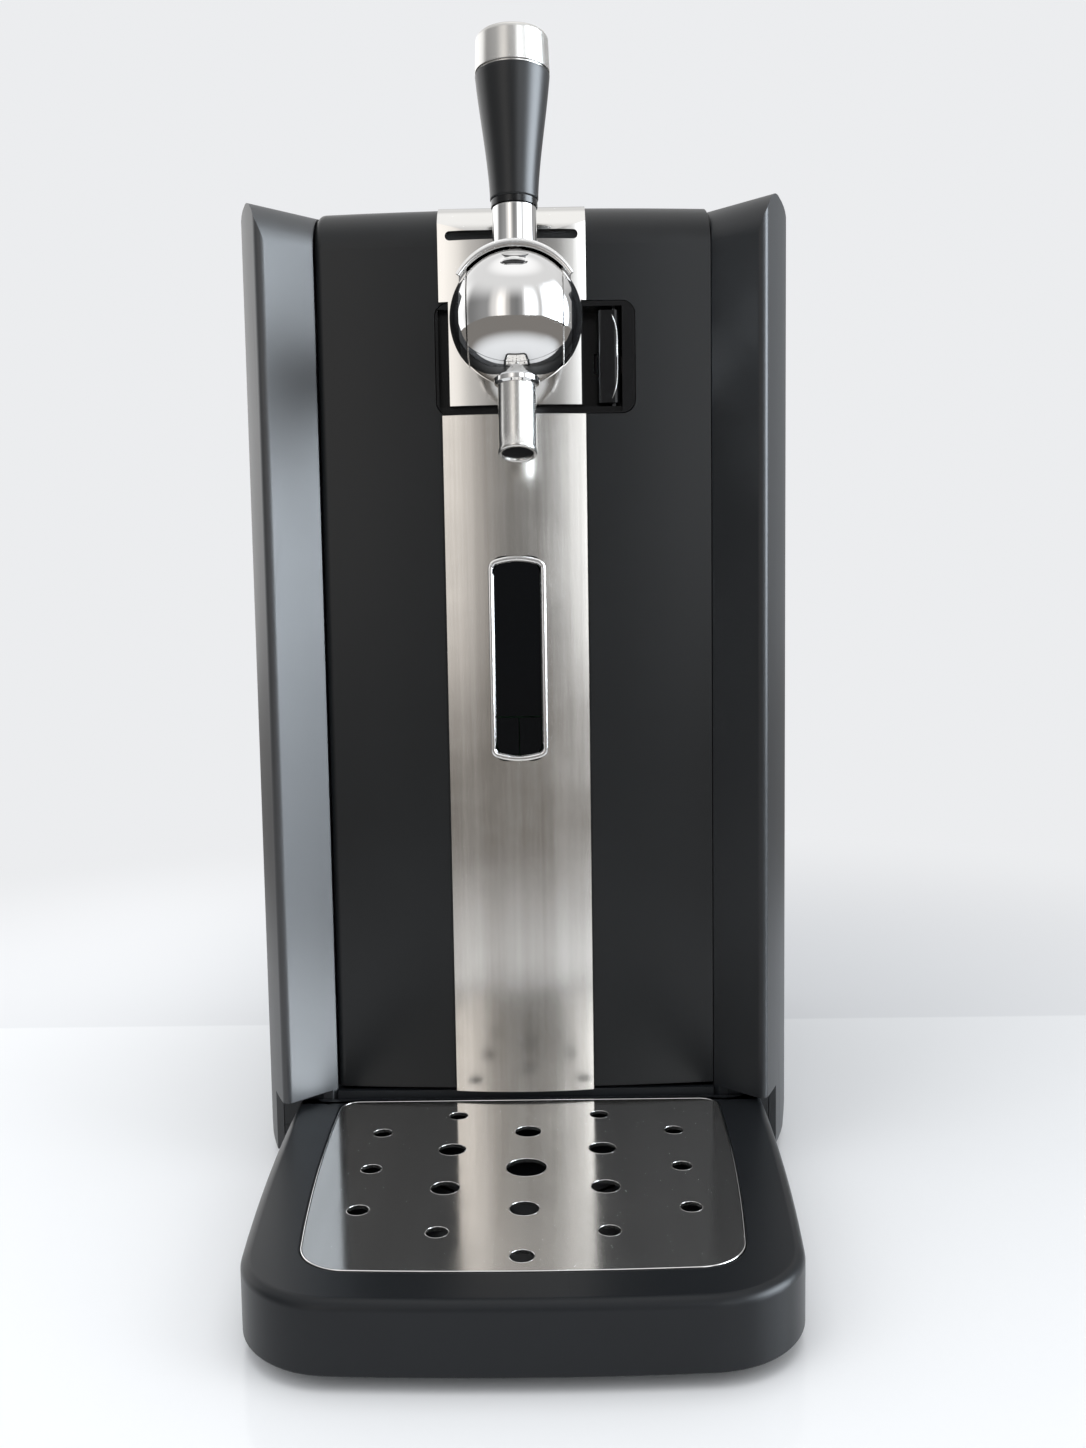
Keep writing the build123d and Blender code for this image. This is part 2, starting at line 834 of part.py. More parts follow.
with BuildPart() as peltier_module:
    with BuildSketch(plan_at(deck_top)):
        with Locations((0, chamber_behind)):
            Rectangle(peltier_side, peltier_side)
    extrude(amount=peltier_thick)
finish(peltier_module.part, "peltier_module")

with BuildPart() as heat_sink:
    with BuildSketch(plan_at(deck_bottom - sink_base)):
        with Locations((0, chamber_behind)):
            Rectangle(sink_side, sink_side)
    extrude(amount=sink_base)
    with BuildSketch(plan_at(deck_bottom)):
        with Locations((0, chamber_behind)):
            Rectangle(boss_side, boss_side)
    extrude(amount=deck_thick)
    with BuildSketch(plan_at(fin_low)):
        with Locations((0, chamber_behind)):
            with GridLocations((sink_side - 2) / (fin_count - 1), 0, fin_count, 1):
                Rectangle(2, sink_side)
    extrude(amount=deck_bottom - sink_base - fin_low)
finish(heat_sink.part, "heat_sink")

# Fan
fan_corners = [
    (x, chamber_behind + y)
    for x in (-fan_screw_inset, fan_screw_inset)
    for y in (-fan_screw_inset, fan_screw_inset)
]
with BuildPart() as fan_frame:
    with BuildSketch(plan_at(base_floor)):
        with Locations((0, chamber_behind)):
            RectangleRounded(fan_side, fan_side, fan_corner)
            Circle(fan_bore, mode=Mode.SUBTRACT)
        with Locations(*fan_corners):
            Circle(fan_screw, mode=Mode.SUBTRACT)
    extrude(amount=fan_high)
    with BuildSketch(plan_at(base_floor)):
        with Locations((0, chamber_behind)):
            Circle(fan_hub)
            Rectangle(2 * fan_bore + 1, fan_spoke)
            Rectangle(fan_spoke, 2 * fan_bore + 1)
            Circle(axle_radius + pin_play, mode=Mode.SUBTRACT)
    extrude(amount=base_thick)
finish(fan_frame.part, "fan_frame")

rotor_low = base_floor + base_thick + fit_gap
with BuildPart() as fan_rotor:
    with BuildSketch(plan_at(rotor_low)):
        with Locations((0, chamber_behind)):
            Circle(fan_hub - 1)
    extrude(amount=fan_high - base_thick - 1)
    with BuildSketch(plan_at(base_floor + 0.5)):
        with Locations((0, chamber_behind)):
            Circle(axle_radius)
    extrude(amount=base_thick)
    with Locations(plan_at(rotor_low + blade_lift).location * Pos(0, chamber_behind, 0)):
        with PolarLocations((blade_in + blade_out) / 2, fan_blades):
            Box(blade_out - blade_in, *blade_section, rotation=(blade_turn, 0, 0))
finish(fan_rotor.part, "fan_rotor")

# Power and control
supply_middle = (supply_low[0] + supply_size[0] / 2, supply_low[1] + supply_size[1] / 2)
with BuildPart() as power_supply:
    add(
        box_at(
            (supply_low[0], supply_low[1], base_floor),
            (supply_low[0] + supply_size[0], supply_low[1] + supply_size[1], base_floor + supply_size[2]),
        )
    )
    # rows of slots in its cover
    with BuildSketch(plan_at(base_floor + supply_size[2])):
        with Locations(supply_middle):
            with GridLocations(0, supply_slot_pitch, 1, supply_slots):
                SlotOverall(*supply_slot)
    extrude(amount=-2, mode=Mode.SUBTRACT)
finish(power_supply.part, "power_supply")

board_middle = (board_low[0] + board_size[0] / 2, board_low[1] + board_size[1] / 2)
board_bottom = base_floor + board_post
with BuildPart() as control_board:
    with BuildSketch(plan_at(board_bottom)):
        with Locations(board_middle):
            Rectangle(board_size[0], board_size[1])
    extrude(amount=board_size[2])
    with BuildSketch(plan_at(base_floor)):
        with Locations(board_middle):
            with GridLocations(board_size[0] - 2 * board_edge, board_size[1] - 2 * board_edge, 2, 2):
                Circle(board_post_radius)
    extrude(amount=board_post)
    with BuildSketch(plan_at(board_bottom + board_size[2])):
        for across, behind, wide, deep in board_blocks:
            with Locations((board_middle[0] + across, board_middle[1] + behind)):
                Rectangle(wide, deep)
    extrude(amount=board_block_high)
    with BuildSketch(plan_at(board_bottom + board_size[2])):
        with Locations((board_middle[0] + board_cans[0], board_middle[1] + board_cans[1])):
            with GridLocations(board_can_pitch, 0, 2, 1):
                Circle(board_can_radius)
    extrude(amount=board_can_high)
finish(control_board.part, "control_board")

# Air pump
pump_middle = (pump_low[0] + pump_size[0] / 2, pump_low[1] + pump_size[1] / 2)
pump_axis = base_floor + pump_size[2] / 2
crank_room = crank_radius + 1
with BuildPart() as pump_head:
    add(
        box_at(
            (pump_low[0], pump_low[1], base_floor),
            (pump_low[0] + pump_size[0], pump_low[1] + pump_size[1], base_floor + pump_size[2]),
        )
    )
    with Locations(front_at(pump_middle[1], pump_axis, pump_middle[0])):
        Cylinder(crank_room, crank_thick + 2 * fit_gap, mode=Mode.SUBTRACT)
    with Locations(front_at(pump_middle[1], pump_axis, pump_middle[0])):
        Cylinder(
            crank_shaft + pin_play,
            pump_size[1] / 2 + 1,
            align=(Align.CENTER, Align.CENTER, Align.MIN),
            mode=Mode.SUBTRACT,
        )
    with BuildSketch(plan_at(base_floor + pump_size[2])):
        with Locations(hose_place):
            Circle(hose_bore)
    extrude(amount=hose_start - base_floor - pump_size[2] + barb_long[0])
finish(pump_head.part, "pump_head")

with BuildPart() as pump_motor:
    with Locations(front_at(pump_low[1], pump_axis, pump_middle[0])):
        Cylinder(motor_radius, motor_long, align=(Align.CENTER, Align.CENTER, Align.MIN))
        Cylinder(
            crank_shaft + pin_play,
            motor_shaft,
            align=(Align.CENTER, Align.CENTER, Align.MIN),
            mode=Mode.SUBTRACT,
        )
finish(pump_motor.part, "pump_motor")

with BuildPart() as pump_crank:
    with Locations(front_at(pump_middle[1], pump_axis, pump_middle[0])):
        Cylinder(crank_radius, crank_thick)
        Cylinder(
            crank_shaft,
            pump_size[1] / 2 + motor_shaft - 1,
            align=(Align.CENTER, Align.CENTER, Align.MIN),
        )
    # the eccentric's lightening holes
    with Locations(front_at(pump_middle[1], pump_axis, pump_middle[0])):
        hole_ring = crank_radius * crank_hole_share
        with PolarLocations(hole_ring, 3, start_angle=90, angular_range=crank_hole_spread):
            Cylinder(crank_hole, crank_thick, mode=Mode.SUBTRACT)
finish(pump_crank.part, "pump_crank")

with BuildPart() as air_hose:
    with BuildLine(Plane((0, face_y, 0))) as hose_line:
        FilletPolyline(
            (hose_place[0], hose_place[1], hose_start),
            (hose_place[0], hose_place[1], hose_run),
            (0, chamber_behind, hose_run),
            (0, chamber_behind, hose_end),
            radius=hose_bend,
        )
    with BuildSketch(plan_at(hose_start)):
        with Locations(hose_place):
            Circle(hose_radius)
            Circle(hose_bore, mode=Mode.SUBTRACT)
    sweep(path=hose_line.wires()[0])
finish(air_hose.part, "air_hose")

coupling_low = chamber_ceiling - coupling_high
with BuildPart() as keg_coupling:
    with BuildSketch(plan_at(coupling_low)):
        with Locations((0, chamber_behind)):
            Circle(coupling_radius)
    extrude(amount=coupling_high)
    chamfer(keg_coupling.edges().group_by(Axis.Z)[0], 2)
    with BuildSketch(plan_at(chamber_ceiling)):
        with Locations((0, chamber_behind)):
            Circle(stem_radius)
    extrude(amount=hose_end - chamber_ceiling)
    with BuildSketch(plan_at(hose_end)):
        with Locations((0, chamber_behind)):
            Circle(hose_bore)
    extrude(amount=barb_long[1])
finish(keg_coupling.part, "keg_coupling")

# Mains inlet and power switch
inlet_plane = front_at(rear_inside, height=socket_height, across=inlet_across)
switch_plane = front_at(rear_inside, height=socket_height, across=switch_across)
with BuildPart() as mains_inlet:
    with BuildSketch(inlet_plane):
        Rectangle(inlet_wide - seam, inlet_high - seam)
    extrude(amount=-casing_wall + 0.5)
    with BuildSketch(inlet_plane):
        Rectangle(inlet_wide + inlet_lip[0], inlet_high + inlet_lip[1])
    extrude(amount=2)
    with BuildSketch(inlet_plane):
        Rectangle(inlet_wide - seam, inlet_high - seam)
    extrude(amount=inlet_deep)
    # socket well with three flat prongs
    with BuildSketch(front_at(casing_depth, height=socket_height, across=inlet_across)):
        RectangleRounded(inlet_wide - socket_wall[0], inlet_high - socket_wall[1], socket_corner)
        with GridLocations(prong_pitch, 0, prong_count, 1):
            Rectangle(*prong_size, mode=Mode.SUBTRACT)
    extrude(amount=inlet_deep - socket_wall[0], mode=Mode.SUBTRACT)
finish(mains_inlet.part, "mains_inlet")

rocker_back = rear_inside - 1
rocker_axis = Location((switch_across, face_y + rocker_back, socket_height))
with BuildPart() as switch_frame:
    with BuildSketch(switch_plane):
        Rectangle(switch_wide - seam, switch_high - seam)
    extrude(amount=-casing_wall + 0.5)
    with BuildSketch(switch_plane):
        Rectangle(switch_wide + switch_lip, switch_high + switch_lip)
    extrude(amount=2)
    with BuildSketch(switch_plane):
        Rectangle(switch_wide - seam, switch_high - seam)
    extrude(amount=switch_deep)
    with BuildSketch(front_at(casing_depth, height=socket_height, across=switch_across)):
        Rectangle(rocker_wide + 2 * fit_gap, rocker_high + rocker_slack)
    extrude(amount=switch_deep - 2, mode=Mode.SUBTRACT)
    with Locations(rocker_axis):
        Cylinder(rocker_pin + pin_play, switch_wide - seam - 2, rotation=(0, 90, 0), mode=Mode.SUBTRACT)
finish(switch_frame.part, "switch_frame")

# the rocker is a shallow wedge that turns about its middle, and rests on its lower half
rocker_plane = side_at(switch_across - rocker_wide / 2)
with BuildPart() as power_rocker:
    with BuildSketch(rocker_plane):
        with BuildLine():
            Polyline(
                (rocker_back - rocker_deep, socket_height - rocker_high / 2 + rocker_taper),
                (
                    rocker_back + rocker_deep - rocker_high / 2 * sin(radians(rocker_swing)),
                    socket_height - rocker_high / 2,
                ),
                (rocker_back + rocker_deep, socket_height),
                (rocker_back + rocker_deep, socket_height + rocker_high / 2),
                (rocker_back - rocker_deep, socket_height + rocker_high / 2 - rocker_taper),
                close=True,
            )
        make_face()
    extrude(amount=rocker_wide)
    with Locations(rocker_axis):
        Cylinder(rocker_pin, switch_wide - seam - 3, rotation=(0, 90, 0))
finish(power_rocker.part, "power_rocker")

# Door hinge
hinge_place = (hinge_x, hinge_back)
with BuildPart() as hinge_leaves:
    for height in hinge_heights:
        low = height - knuckle_height / 2
        high = height + knuckle_height / 2
        add(
            box_at(
                (-opening_half - leaf_thick, leaf_front, low),
                (-opening_half, leaf_front + leaf_deep, high),
            )
        )
        add(
            box_at(
                (-opening_half - leaf_thick / 2, leaf_front, low),
                (hinge_x + arm_thick, leaf_front + arm_thick, high),
            )
        )
        add(box_at((hinge_x - 0.5, hinge_back, low), (hinge_x + arm_thick, leaf_front + 1, high)))
        with BuildSketch(plan_at(low)):
            with Locations(hinge_place):
                Circle(knuckle_radius)
        extrude(amount=knuckle_height)
        with BuildSketch(plan_at(low)):
            with Locations(hinge_place):
                Circle(hinge_pin_radius)
        extrude(amount=knuckle_height, mode=Mode.SUBTRACT)
finish(hinge_leaves.part, "hinge_leaves")

with BuildPart() as hinge_pins:
    for height in hinge_heights:
        with BuildSketch(plan_at(height - knuckle_height / 2 - pin_reach)):
            with Locations(hinge_place):
                Circle(hinge_pin_radius)
        extrude(amount=knuckle_height + 2 * pin_reach)
finish(hinge_pins.part, "hinge_pins")

with BuildPart() as strike_plate:
    add(
        box_at(
            (opening_half, strike_front, strike_middle - strike_high / 2),
            (opening_half + strike_thick, strike_front + strike_deep, strike_middle + strike_high / 2),
        )
    )
finish(strike_plate.part, "strike_plate")

# Front trim: a section that is convex across, and the way its back is seated
roll_middle = casing_top - top_roll
skin_top = casing_top - plate_skin


def seat_room(gap):
    """The room in front of the trim's back face, seen from the side, as wide as the door."""
    with BuildPart() as room:
        with BuildSketch(side_at(-door_half)):
            with BuildLine():
                Line((-door_edge_back, door_bottom - margin), (plate_seat, door_bottom - margin))
                Line((plate_seat, door_bottom - margin), (plate_seat, roll_middle))
                TangentArc((plate_seat, roll_middle), (top_roll, skin_top - gap), tangent=(0, 1))
                Polyline(
                    (top_roll, skin_top - gap),
                    (jamb_inside, skin_top - gap),
                    (jamb_inside, casing_top + margin),
                    (-door_edge_back, casing_top + margin),
                    (-door_edge_back, door_bottom - margin),
                )
            make_face()
        extrude(amount=2 * door_half)
    return room.part


def trim_section(left, right, low, high, depth):
    """An upright strip whose front is convex across, between two heights."""
    with BuildPart() as strip:
        with BuildSketch(plan_at(low)):
            with BuildLine():
                ThreePointArc((-plate_half, strip_sag), (0, 0), (plate_half, strip_sag))
                Polyline(
                    (plate_half, strip_sag),
                    (plate_half, depth),
                    (-plate_half, depth),
                    (-plate_half, strip_sag),
                )
            make_face()
        extrude(amount=high - low)
        add(box_at((left, -1, low), (right, depth, high)), mode=Mode.INTERSECT)
    return strip.part


trim_back = seat_room(0)
trim_clearance = seat_room(trim_gap)
strip_form = trim_section(-strip_half, strip_half, strip_bottom, strip_top, plate_seat)
plate_form = trim_section(-plate_half, plate_half, plate_bottom, casing_top, door_back)
with BuildPart() as trim_room:
    add(trim_clearance)
    add(
        box_at((-plate_half - channel_gap, -door_edge_back, 0), (plate_half + channel_gap, far, far)),
        mode=Mode.INTERSECT,
    )

with BuildPart() as roll_form:
    with BuildSketch(side_at(-door_half)) as roll_side:
        with BuildLine():
            Polyline(
                (0, door_bottom),
                (door_back, door_bottom),
                (door_back, casing_top),
                (0, casing_top),
                close=True,
            )
        make_face()
        fillet(roll_side.vertices().group_by(Axis.Y)[-1].sort_by(Axis.X)[0], top_roll)
    extrude(amount=2 * door_half)

bezel_height = bezel_top - bezel_bottom
bezel_middle = (bezel_top + bezel_bottom) / 2
skirt_height = bezel_height + 2 * (skirt_half - bezel_half)
with BuildPart() as steel_strip:
    add(strip_form)
    with BuildSketch(front_at(plate_seat, height=bezel_middle)):
        RectangleRounded(2 * bezel_half, bezel_height, bezel_corner)
    extrude(amount=3 * plate_seat, both=True, mode=Mode.SUBTRACT)
finish(steel_strip.part, "steel_strip")

tap_plane = front_at(0, height=tap_z, across=tap_x)
with BuildPart() as tap_plate:
    add(plate_form)
    add(
        box_at((-plate_half - 1, -1, plate_bottom - 1), (-lower_plate_left, door_back, recess_top)),
        mode=Mode.SUBTRACT,
    )
    add(
        box_at((lower_plate_right, -1, plate_bottom - 1), (plate_half + 1, door_back, recess_top)),
        mode=Mode.SUBTRACT,
    )
    add(roll_form.part, mode=Mode.INTERSECT)
    add(trim_back, mode=Mode.INTERSECT)
    with Locations(tap_plane):
        Cylinder(shank_radius, 4 * plate_seat, mode=Mode.SUBTRACT)
    # dark slot above the tap
    with BuildSketch(front_at(-1, height=casing_top - slot_drop)):
        SlotOverall(*plate_slot)
    extrude(amount=-slot_deep, mode=Mode.SUBTRACT)
finish(tap_plate.part, "tap_plate")

# Latch pocket
pocket_width = recess_right + recess_left
pocket_height = recess_top - recess_bottom
pocket_middle = ((recess_right - recess_left) / 2, (recess_top + recess_bottom) / 2)
pocket_plane = front_at(plate_seat, height=pocket_middle[1], across=pocket_middle[0])
bolt_middle = bolt_bottom + bolt_high / 2
with BuildPart() as latch_pocket:
    with BuildSketch(pocket_plane):
        RectangleRounded(pocket_width - 2 * fit_gap, pocket_height - 2 * fit_gap, recess_radius)
    extrude(amount=plate_seat - recess_depth)
    # finger scoop on the right, a notch on the left and a channel under the plate
    add(
        box_at(
            (scoop_left, 0, lever_low - scoop_margin),
            (scoop_right, plate_seat + scoop_depth, lever_high + scoop_margin),
        ),
        mode=Mode.SUBTRACT,
    )
    add(
        box_at(
            (-notch_left, 0, plate_bottom),
            (-lower_plate_left - trim_gap, notch_deep, recess_top - notch_drop),
        ),
        mode=Mode.SUBTRACT,
    )
    add(
        box_at((-notch_left, 0, strip_top + 1), (scoop_right, channel_deep, plate_bottom)),
        mode=Mode.SUBTRACT,
    )
    # way through for the lever's tail
    add(
        box_at(
            (tail_room, scoop_depth, bolt_bottom + bolt_room),
            (scoop_right, recess_depth + 1, bolt_bottom + bolt_high - bolt_room),
        ),
        mode=Mode.SUBTRACT,
    )
    with Locations(tap_plane):
        Cylinder(shank_radius, 3 * recess_depth, mode=Mode.SUBTRACT)
    with BuildSketch(plan_at(lever_low - pin_past)):
        with Locations(lever_pivot):
            Circle(lever_pin_radius)
    extrude(amount=lever_high - lever_low + 2 * pin_past, mode=Mode.SUBTRACT)
finish(latch_pocket.part, "latch_pocket")

with BuildPart() as lever_pin:
    with BuildSketch(plan_at(lever_low - pin_past)):
        with Locations(lever_pivot):
            Circle(lever_pin_radius)
    extrude(amount=lever_high - lever_low + 2 * pin_past)
finish(lever_pin.part, "lever_pin")

lever_round = lever_thick / 2
lever_front = lever_pivot[1] - lever_round
with BuildPart() as latch_lever:
    with BuildSketch(plan_at(lever_low)) as lever_plan:
        with BuildLine():
            Polyline(
                (lever_pivot[0], lever_front),
                (lever_left, lever_front),
                (lever_left, lever_front + lever_thick),
                (lever_pivot[0], lever_front + lever_thick),
            )
            ThreePointArc(
                (lever_pivot[0], lever_front + lever_thick),
                (lever_pivot[0] + lever_round, lever_pivot[1]),
                (lever_pivot[0], lever_front),
            )
        make_face()
        lever_corners = lever_plan.vertices().group_by(Axis.X)[0]
        fillet(lever_corners, lever_corner)
        with Locations(lever_pivot):
            Circle(lever_pin_radius + pin_play, mode=Mode.SUBTRACT)
    extrude(amount=lever_high - lever_low)
    add(box_at((tail_left, lever_pivot[1] + 2, bolt_middle - 3), (tail_right, tail_back, bolt_middle + 3)))
    with BuildSketch(plan_at(lever_low)):
        with Locations(lever_pivot):
            Circle(lever_pin_radius + pin_play)
    extrude(amount=lever_high - lever_low, mode=Mode.SUBTRACT)
finish(latch_lever.part, "latch_lever")

with BuildPart() as latch_bolt:
    add(
        box_at(
            (lever_left + bolt_inset, bolt_front, bolt_bottom),
            (bolt_nose, bolt_front + bolt_deep, bolt_bottom + bolt_high),
        )
    )
    add(
        box_at(
            (fork_left, bolt_front - 1, bolt_bottom + 1),
            (fork_right, bolt_front + bolt_deep + 1, bolt_bottom + bolt_high - 1),
        ),
        mode=Mode.SUBTRACT,
    )
    chamfer(latch_bolt.edges().filter_by(Axis.Z).group_by(Axis.X)[-1].sort_by(Axis.Y)[-1], bolt_bevel)
finish(latch_bolt.part, "latch_bolt")

bolt_back = bolt_front + bolt_deep
liner_front = door_back - liner_plate
with BuildPart() as bolt_guide:
    add(
        box_at(
            (guide_left, bolt_front - guide_wall[0], bolt_bottom - guide_wall[1]),
            (guide_right, liner_front, bolt_bottom + bolt_high + guide_wall[1]),
        )
    )
    add(
        box_at(
            (guide_left - 1, bolt_front - fit_gap, bolt_bottom - fit_gap),
            (guide_right + 1, bolt_back + fit_gap, bolt_bottom + bolt_high + fit_gap),
        ),
        mode=Mode.SUBTRACT,
    )
finish(bolt_guide.part, "bolt_guide")

# Door shell
boss_places = [(x, z) for x in (-boss_across, boss_across) for z, start in boss_rows]
door_outer = door_form(0, door_back)
door_hollow = door_form(door_wall, door_back + 1)
with BuildPart() as door_shell:
    add(door_outer)
    add(door_hollow, mode=Mode.SUBTRACT)
    # bosses and hinge lugs
    for height, start in boss_rows:
        with BuildSketch(front_at(liner_front)):
            with Locations((-boss_across, height), (boss_across, height)):
                Circle(boss_size)
        extrude(amount=liner_front - start)
    for height in hinge_heights:
        for low in (height - knuckle_height / 2 - fit_gap - lug_high, height + knuckle_height / 2 + fit_gap):
            add(
                box_at(
                    (-door_half + 1, door_edge_back + 1, low),
                    (hinge_x + hinge_inset, hinge_back + hinge_inset + 1, low + lug_high),
                )
            )
    for height in hinge_heights:
        low = height - knuckle_height / 2 - fit_gap
        high = height + knuckle_height / 2 + fit_gap
        with BuildSketch(plan_at(low)):
            with Locations(hinge_place):
                Circle(knuckle_room)
        extrude(amount=high - low, mode=Mode.SUBTRACT)
        add(
            box_at(
                (-door_half - 1, hinge_back - knuckle_ahead, low),
                (hinge_x + hinge_inset, leaf_front + margin, high),
            ),
            mode=Mode.SUBTRACT,
        )
        with BuildSketch(plan_at(low - pin_reach - 1)):
            with Locations(hinge_place):
                Circle(hinge_pin_radius + pin_play)
        extrude(amount=high - low + 2 * pin_reach + 2, mode=Mode.SUBTRACT)
    add(trim_room.part, mode=Mode.SUBTRACT)
    # recess, display opening, and the bolt's hole
    with BuildSketch(pocket_plane):
        RectangleRounded(pocket_width, pocket_height, recess_radius)
    extrude(amount=plate_seat - recess_depth, mode=Mode.SUBTRACT)
    with BuildSketch(pocket_plane):
        RectangleRounded(pocket_width, pocket_height, recess_radius)
    extrude(amount=2 * plate_seat, mode=Mode.SUBTRACT)
    with BuildSketch(front_at(foam_front, height=bezel_middle)):
        RectangleRounded(2 * skirt_half, skirt_height, bezel_corner)
    extrude(amount=2 * foam_front, mode=Mode.SUBTRACT)
    add(
        box_at(
            (boss_across, bolt_front - bolt_room, bolt_bottom - bolt_room),
            (door_half + 1, bolt_back + bolt_room, bolt_bottom + bolt_high + bolt_room),
        ),
        mode=Mode.SUBTRACT,
    )
    with BuildSketch(front_at(liner_front)):
        with Locations(*boss_places):
            Circle(door_screw)
    extrude(amount=door_screw_long + 1, mode=Mode.SUBTRACT)
finish(door_shell.part, "door_shell")

liner_low = door_bottom + door_wall + fit_gap
liner_high = casing_top - door_wall - fit_gap
with BuildPart() as door_liner:
    add(box_at((-liner_left, liner_front, liner_low), (liner_right, door_back, liner_high)))
    for height in hinge_heights:
        add(
            box_at(
                (-liner_left - 1, liner_front - 1, height - knuckle_height),
                (-liner_left + 0.5, door_back + 1, height + knuckle_height),
            ),
            mode=Mode.SUBTRACT,
        )
    # a raised panel that stiffens it, the beer line's hole and the screw holes
    add(
        box_at(
            (-panel_half, door_back - 1, panel_low),
            (panel_half, door_back + panel_rise, tap_z - panel_drop),
        )
    )
    with BuildSketch(front_at(liner_front - 1)):
        with Locations((tap_x, tap_z)):
            Circle(grommet_radius)
        with Locations(*boss_places):
            Circle(door_screw)
    extrude(amount=-4 * liner_plate, mode=Mode.SUBTRACT)
finish(door_liner.part, "door_liner")

with BuildPart() as door_screws:
    with BuildSketch(front_at(liner_front)):
        with Locations(*boss_places):
            Circle(door_screw)
    extrude(amount=door_screw_long)
    with BuildSketch(front_at(liner_front)):
        with Locations(*boss_places):
            Circle(door_screw)
    extrude(amount=-liner_plate)
    with BuildSketch(front_at(door_back)):
        with Locations(*boss_places):
            Circle(2 * door_screw)
    extrude(amount=-door_screw_head)
finish(door_screws.part, "door_screws")

with BuildPart() as line_grommet:
    with BuildSketch(front_at(liner_front)):
        with Locations((tap_x, tap_z)):
            Circle(grommet_radius)
            Circle(line_radius, mode=Mode.SUBTRACT)
    extrude(amount=-liner_plate)
    with BuildSketch(front_at(door_back)):
        with Locations((tap_x, tap_z)):
            Circle(grommet_radius + grommet_lip[0])
            Circle(line_radius, mode=Mode.SUBTRACT)
    extrude(amount=-grommet_lip[1])
finish(line_grommet.part, "line_grommet")

gasket_high = chamber_ceiling + gasket_above
gasket_low = chamber_floor - gasket_below
gasket_inside = 2 * chamber_radius + 1
gasket_middle = (gasket_high + gasket_low) / 2
with BuildPart() as door_gasket:
    with BuildSketch(front_at(door_back, height=gasket_middle)):
        RectangleRounded(gasket_inside + 2 * gasket_wide, gasket_high - gasket_low, gasket_corner[0])
        RectangleRounded(
            gasket_inside,
            gasket_high - gasket_low - 2 * gasket_wide,
            gasket_corner[1],
            mode=Mode.SUBTRACT,
        )
    extrude(amount=-gasket_thick)
finish(door_gasket.part, "door_gasket")

with BuildPart() as door_foam:
    add(
        box_at(
            (-foam_half, foam_front, door_foam_low),
            (foam_half, liner_front, recess_bottom - display_room[1]),
        )
    )
    # room for the display and its board
    add(
        box_at(
            (-display_half, foam_front - 1, bezel_bottom - display_room[0]),
            (display_half, foam_front + display_room[1], bezel_top + display_room[0]),
        ),
        mode=Mode.SUBTRACT,
    )
finish(door_foam.part, "door_foam")

# Display
with BuildPart() as display_bezel:
    with BuildSketch(front_at(plate_seat, height=bezel_middle)):
        RectangleRounded(2 * bezel_half, bezel_height, bezel_corner)
    extrude(amount=plate_seat + bezel_proud)
    fillet(display_bezel.edges().group_by(Axis.Y)[0], bezel_round)
    with BuildSketch(front_at(plate_seat, height=bezel_middle)):
        RectangleRounded(2 * skirt_half, skirt_height, bezel_corner)
    extrude(amount=plate_seat - skirt_back)
    with BuildSketch(front_at(-2, height=bezel_middle)):
        RectangleRounded(2 * (bezel_half - bezel_rim), bezel_height - 2 * bezel_rim, bezel_corner - 2)
    extrude(amount=-2 - skirt_back, mode=Mode.SUBTRACT)
finish(display_bezel.part, "display_bezel")

inner_half = bezel_half - bezel_rim
inner_height = bezel_height - 2 * bezel_rim
with BuildPart() as bezel_inside:
    with BuildSketch(front_at(window_front, height=bezel_middle)):
        RectangleRounded(2 * inner_half, inner_height, bezel_corner - 2)
    extrude(amount=-window_thick)

with BuildPart() as display_window:
    add(bezel_inside.part)
    add(box_at((-inner_half - 1, 0, 0), (inner_half + 1, skirt_back, window_bottom)), mode=Mode.SUBTRACT)
finish(display_window.part, "display_window")

window_back = window_front + window_thick
with BuildPart() as display_board:
    add(
        box_at(
            (-display_board_half, skirt_back, bezel_bottom - 3),
            (display_board_half, skirt_back + display_board_thick, bezel_top + 3),
        )
    )
    add(
        box_at(
            (window_reveal - inner_half, window_back, window_bottom + module_lift),
            (inner_half - window_reveal, skirt_back, bezel_top - bezel_rim - module_drop),
        )
    )
finish(display_board.part, "display_board")

for side, label in ((-1, "left_key"), (1, "right_key")):
    with BuildPart() as key:
        with BuildSketch(front_at(window_front + key_sunk, height=(key_low + key_high) / 2)) as key_face:
            with Locations((side * (inner_half - key_play + key_split / 2) / 2, 0)):
                Rectangle(inner_half - key_play - key_split / 2, key_high - key_low)
            outer_low = key_face.vertices().group_by(Axis.Y)[0].sort_by(Axis.X)[0 if side < 0 else -1]
            fillet(outer_low, bezel_corner - 2 - key_play)
        extrude(amount=-stem_thick)
        with BuildSketch(front_at(window_back, height=(key_low + key_high) / 2 + 1)):
            with Locations((side * inner_half / 2, 0)):
                Circle(stem_thick)
        extrude(amount=window_back - skirt_back + key_press + key_sunk)
    finish(key.part, label)

# Tap. The ball's middle is the lever's axis.
tap_middle = (tap_x, face_y - tap_ahead, tap_z)
ball_place = Location(tap_middle)
cap_plane = Plane(
    tap_middle,
    x_dir=(1, 0, 0),
    z_dir=(0, -cos(radians(cap_rise)), sin(radians(cap_rise))),
).offset(cap_offset)
housing_half = cap_half + housing_play
cap_inner = ball_radius - cap_thick
spout_line = Plane(
    tap_middle,
    x_dir=(1, 0, 0),
    z_dir=(0, -sin(radians(spout_tilt)), -cos(radians(spout_tilt))),
)
reach = 3 * ball_radius

with BuildPart() as cap_side:
    with BuildSketch(cap_plane):
        Rectangle(reach, reach)
    extrude(amount=reach)

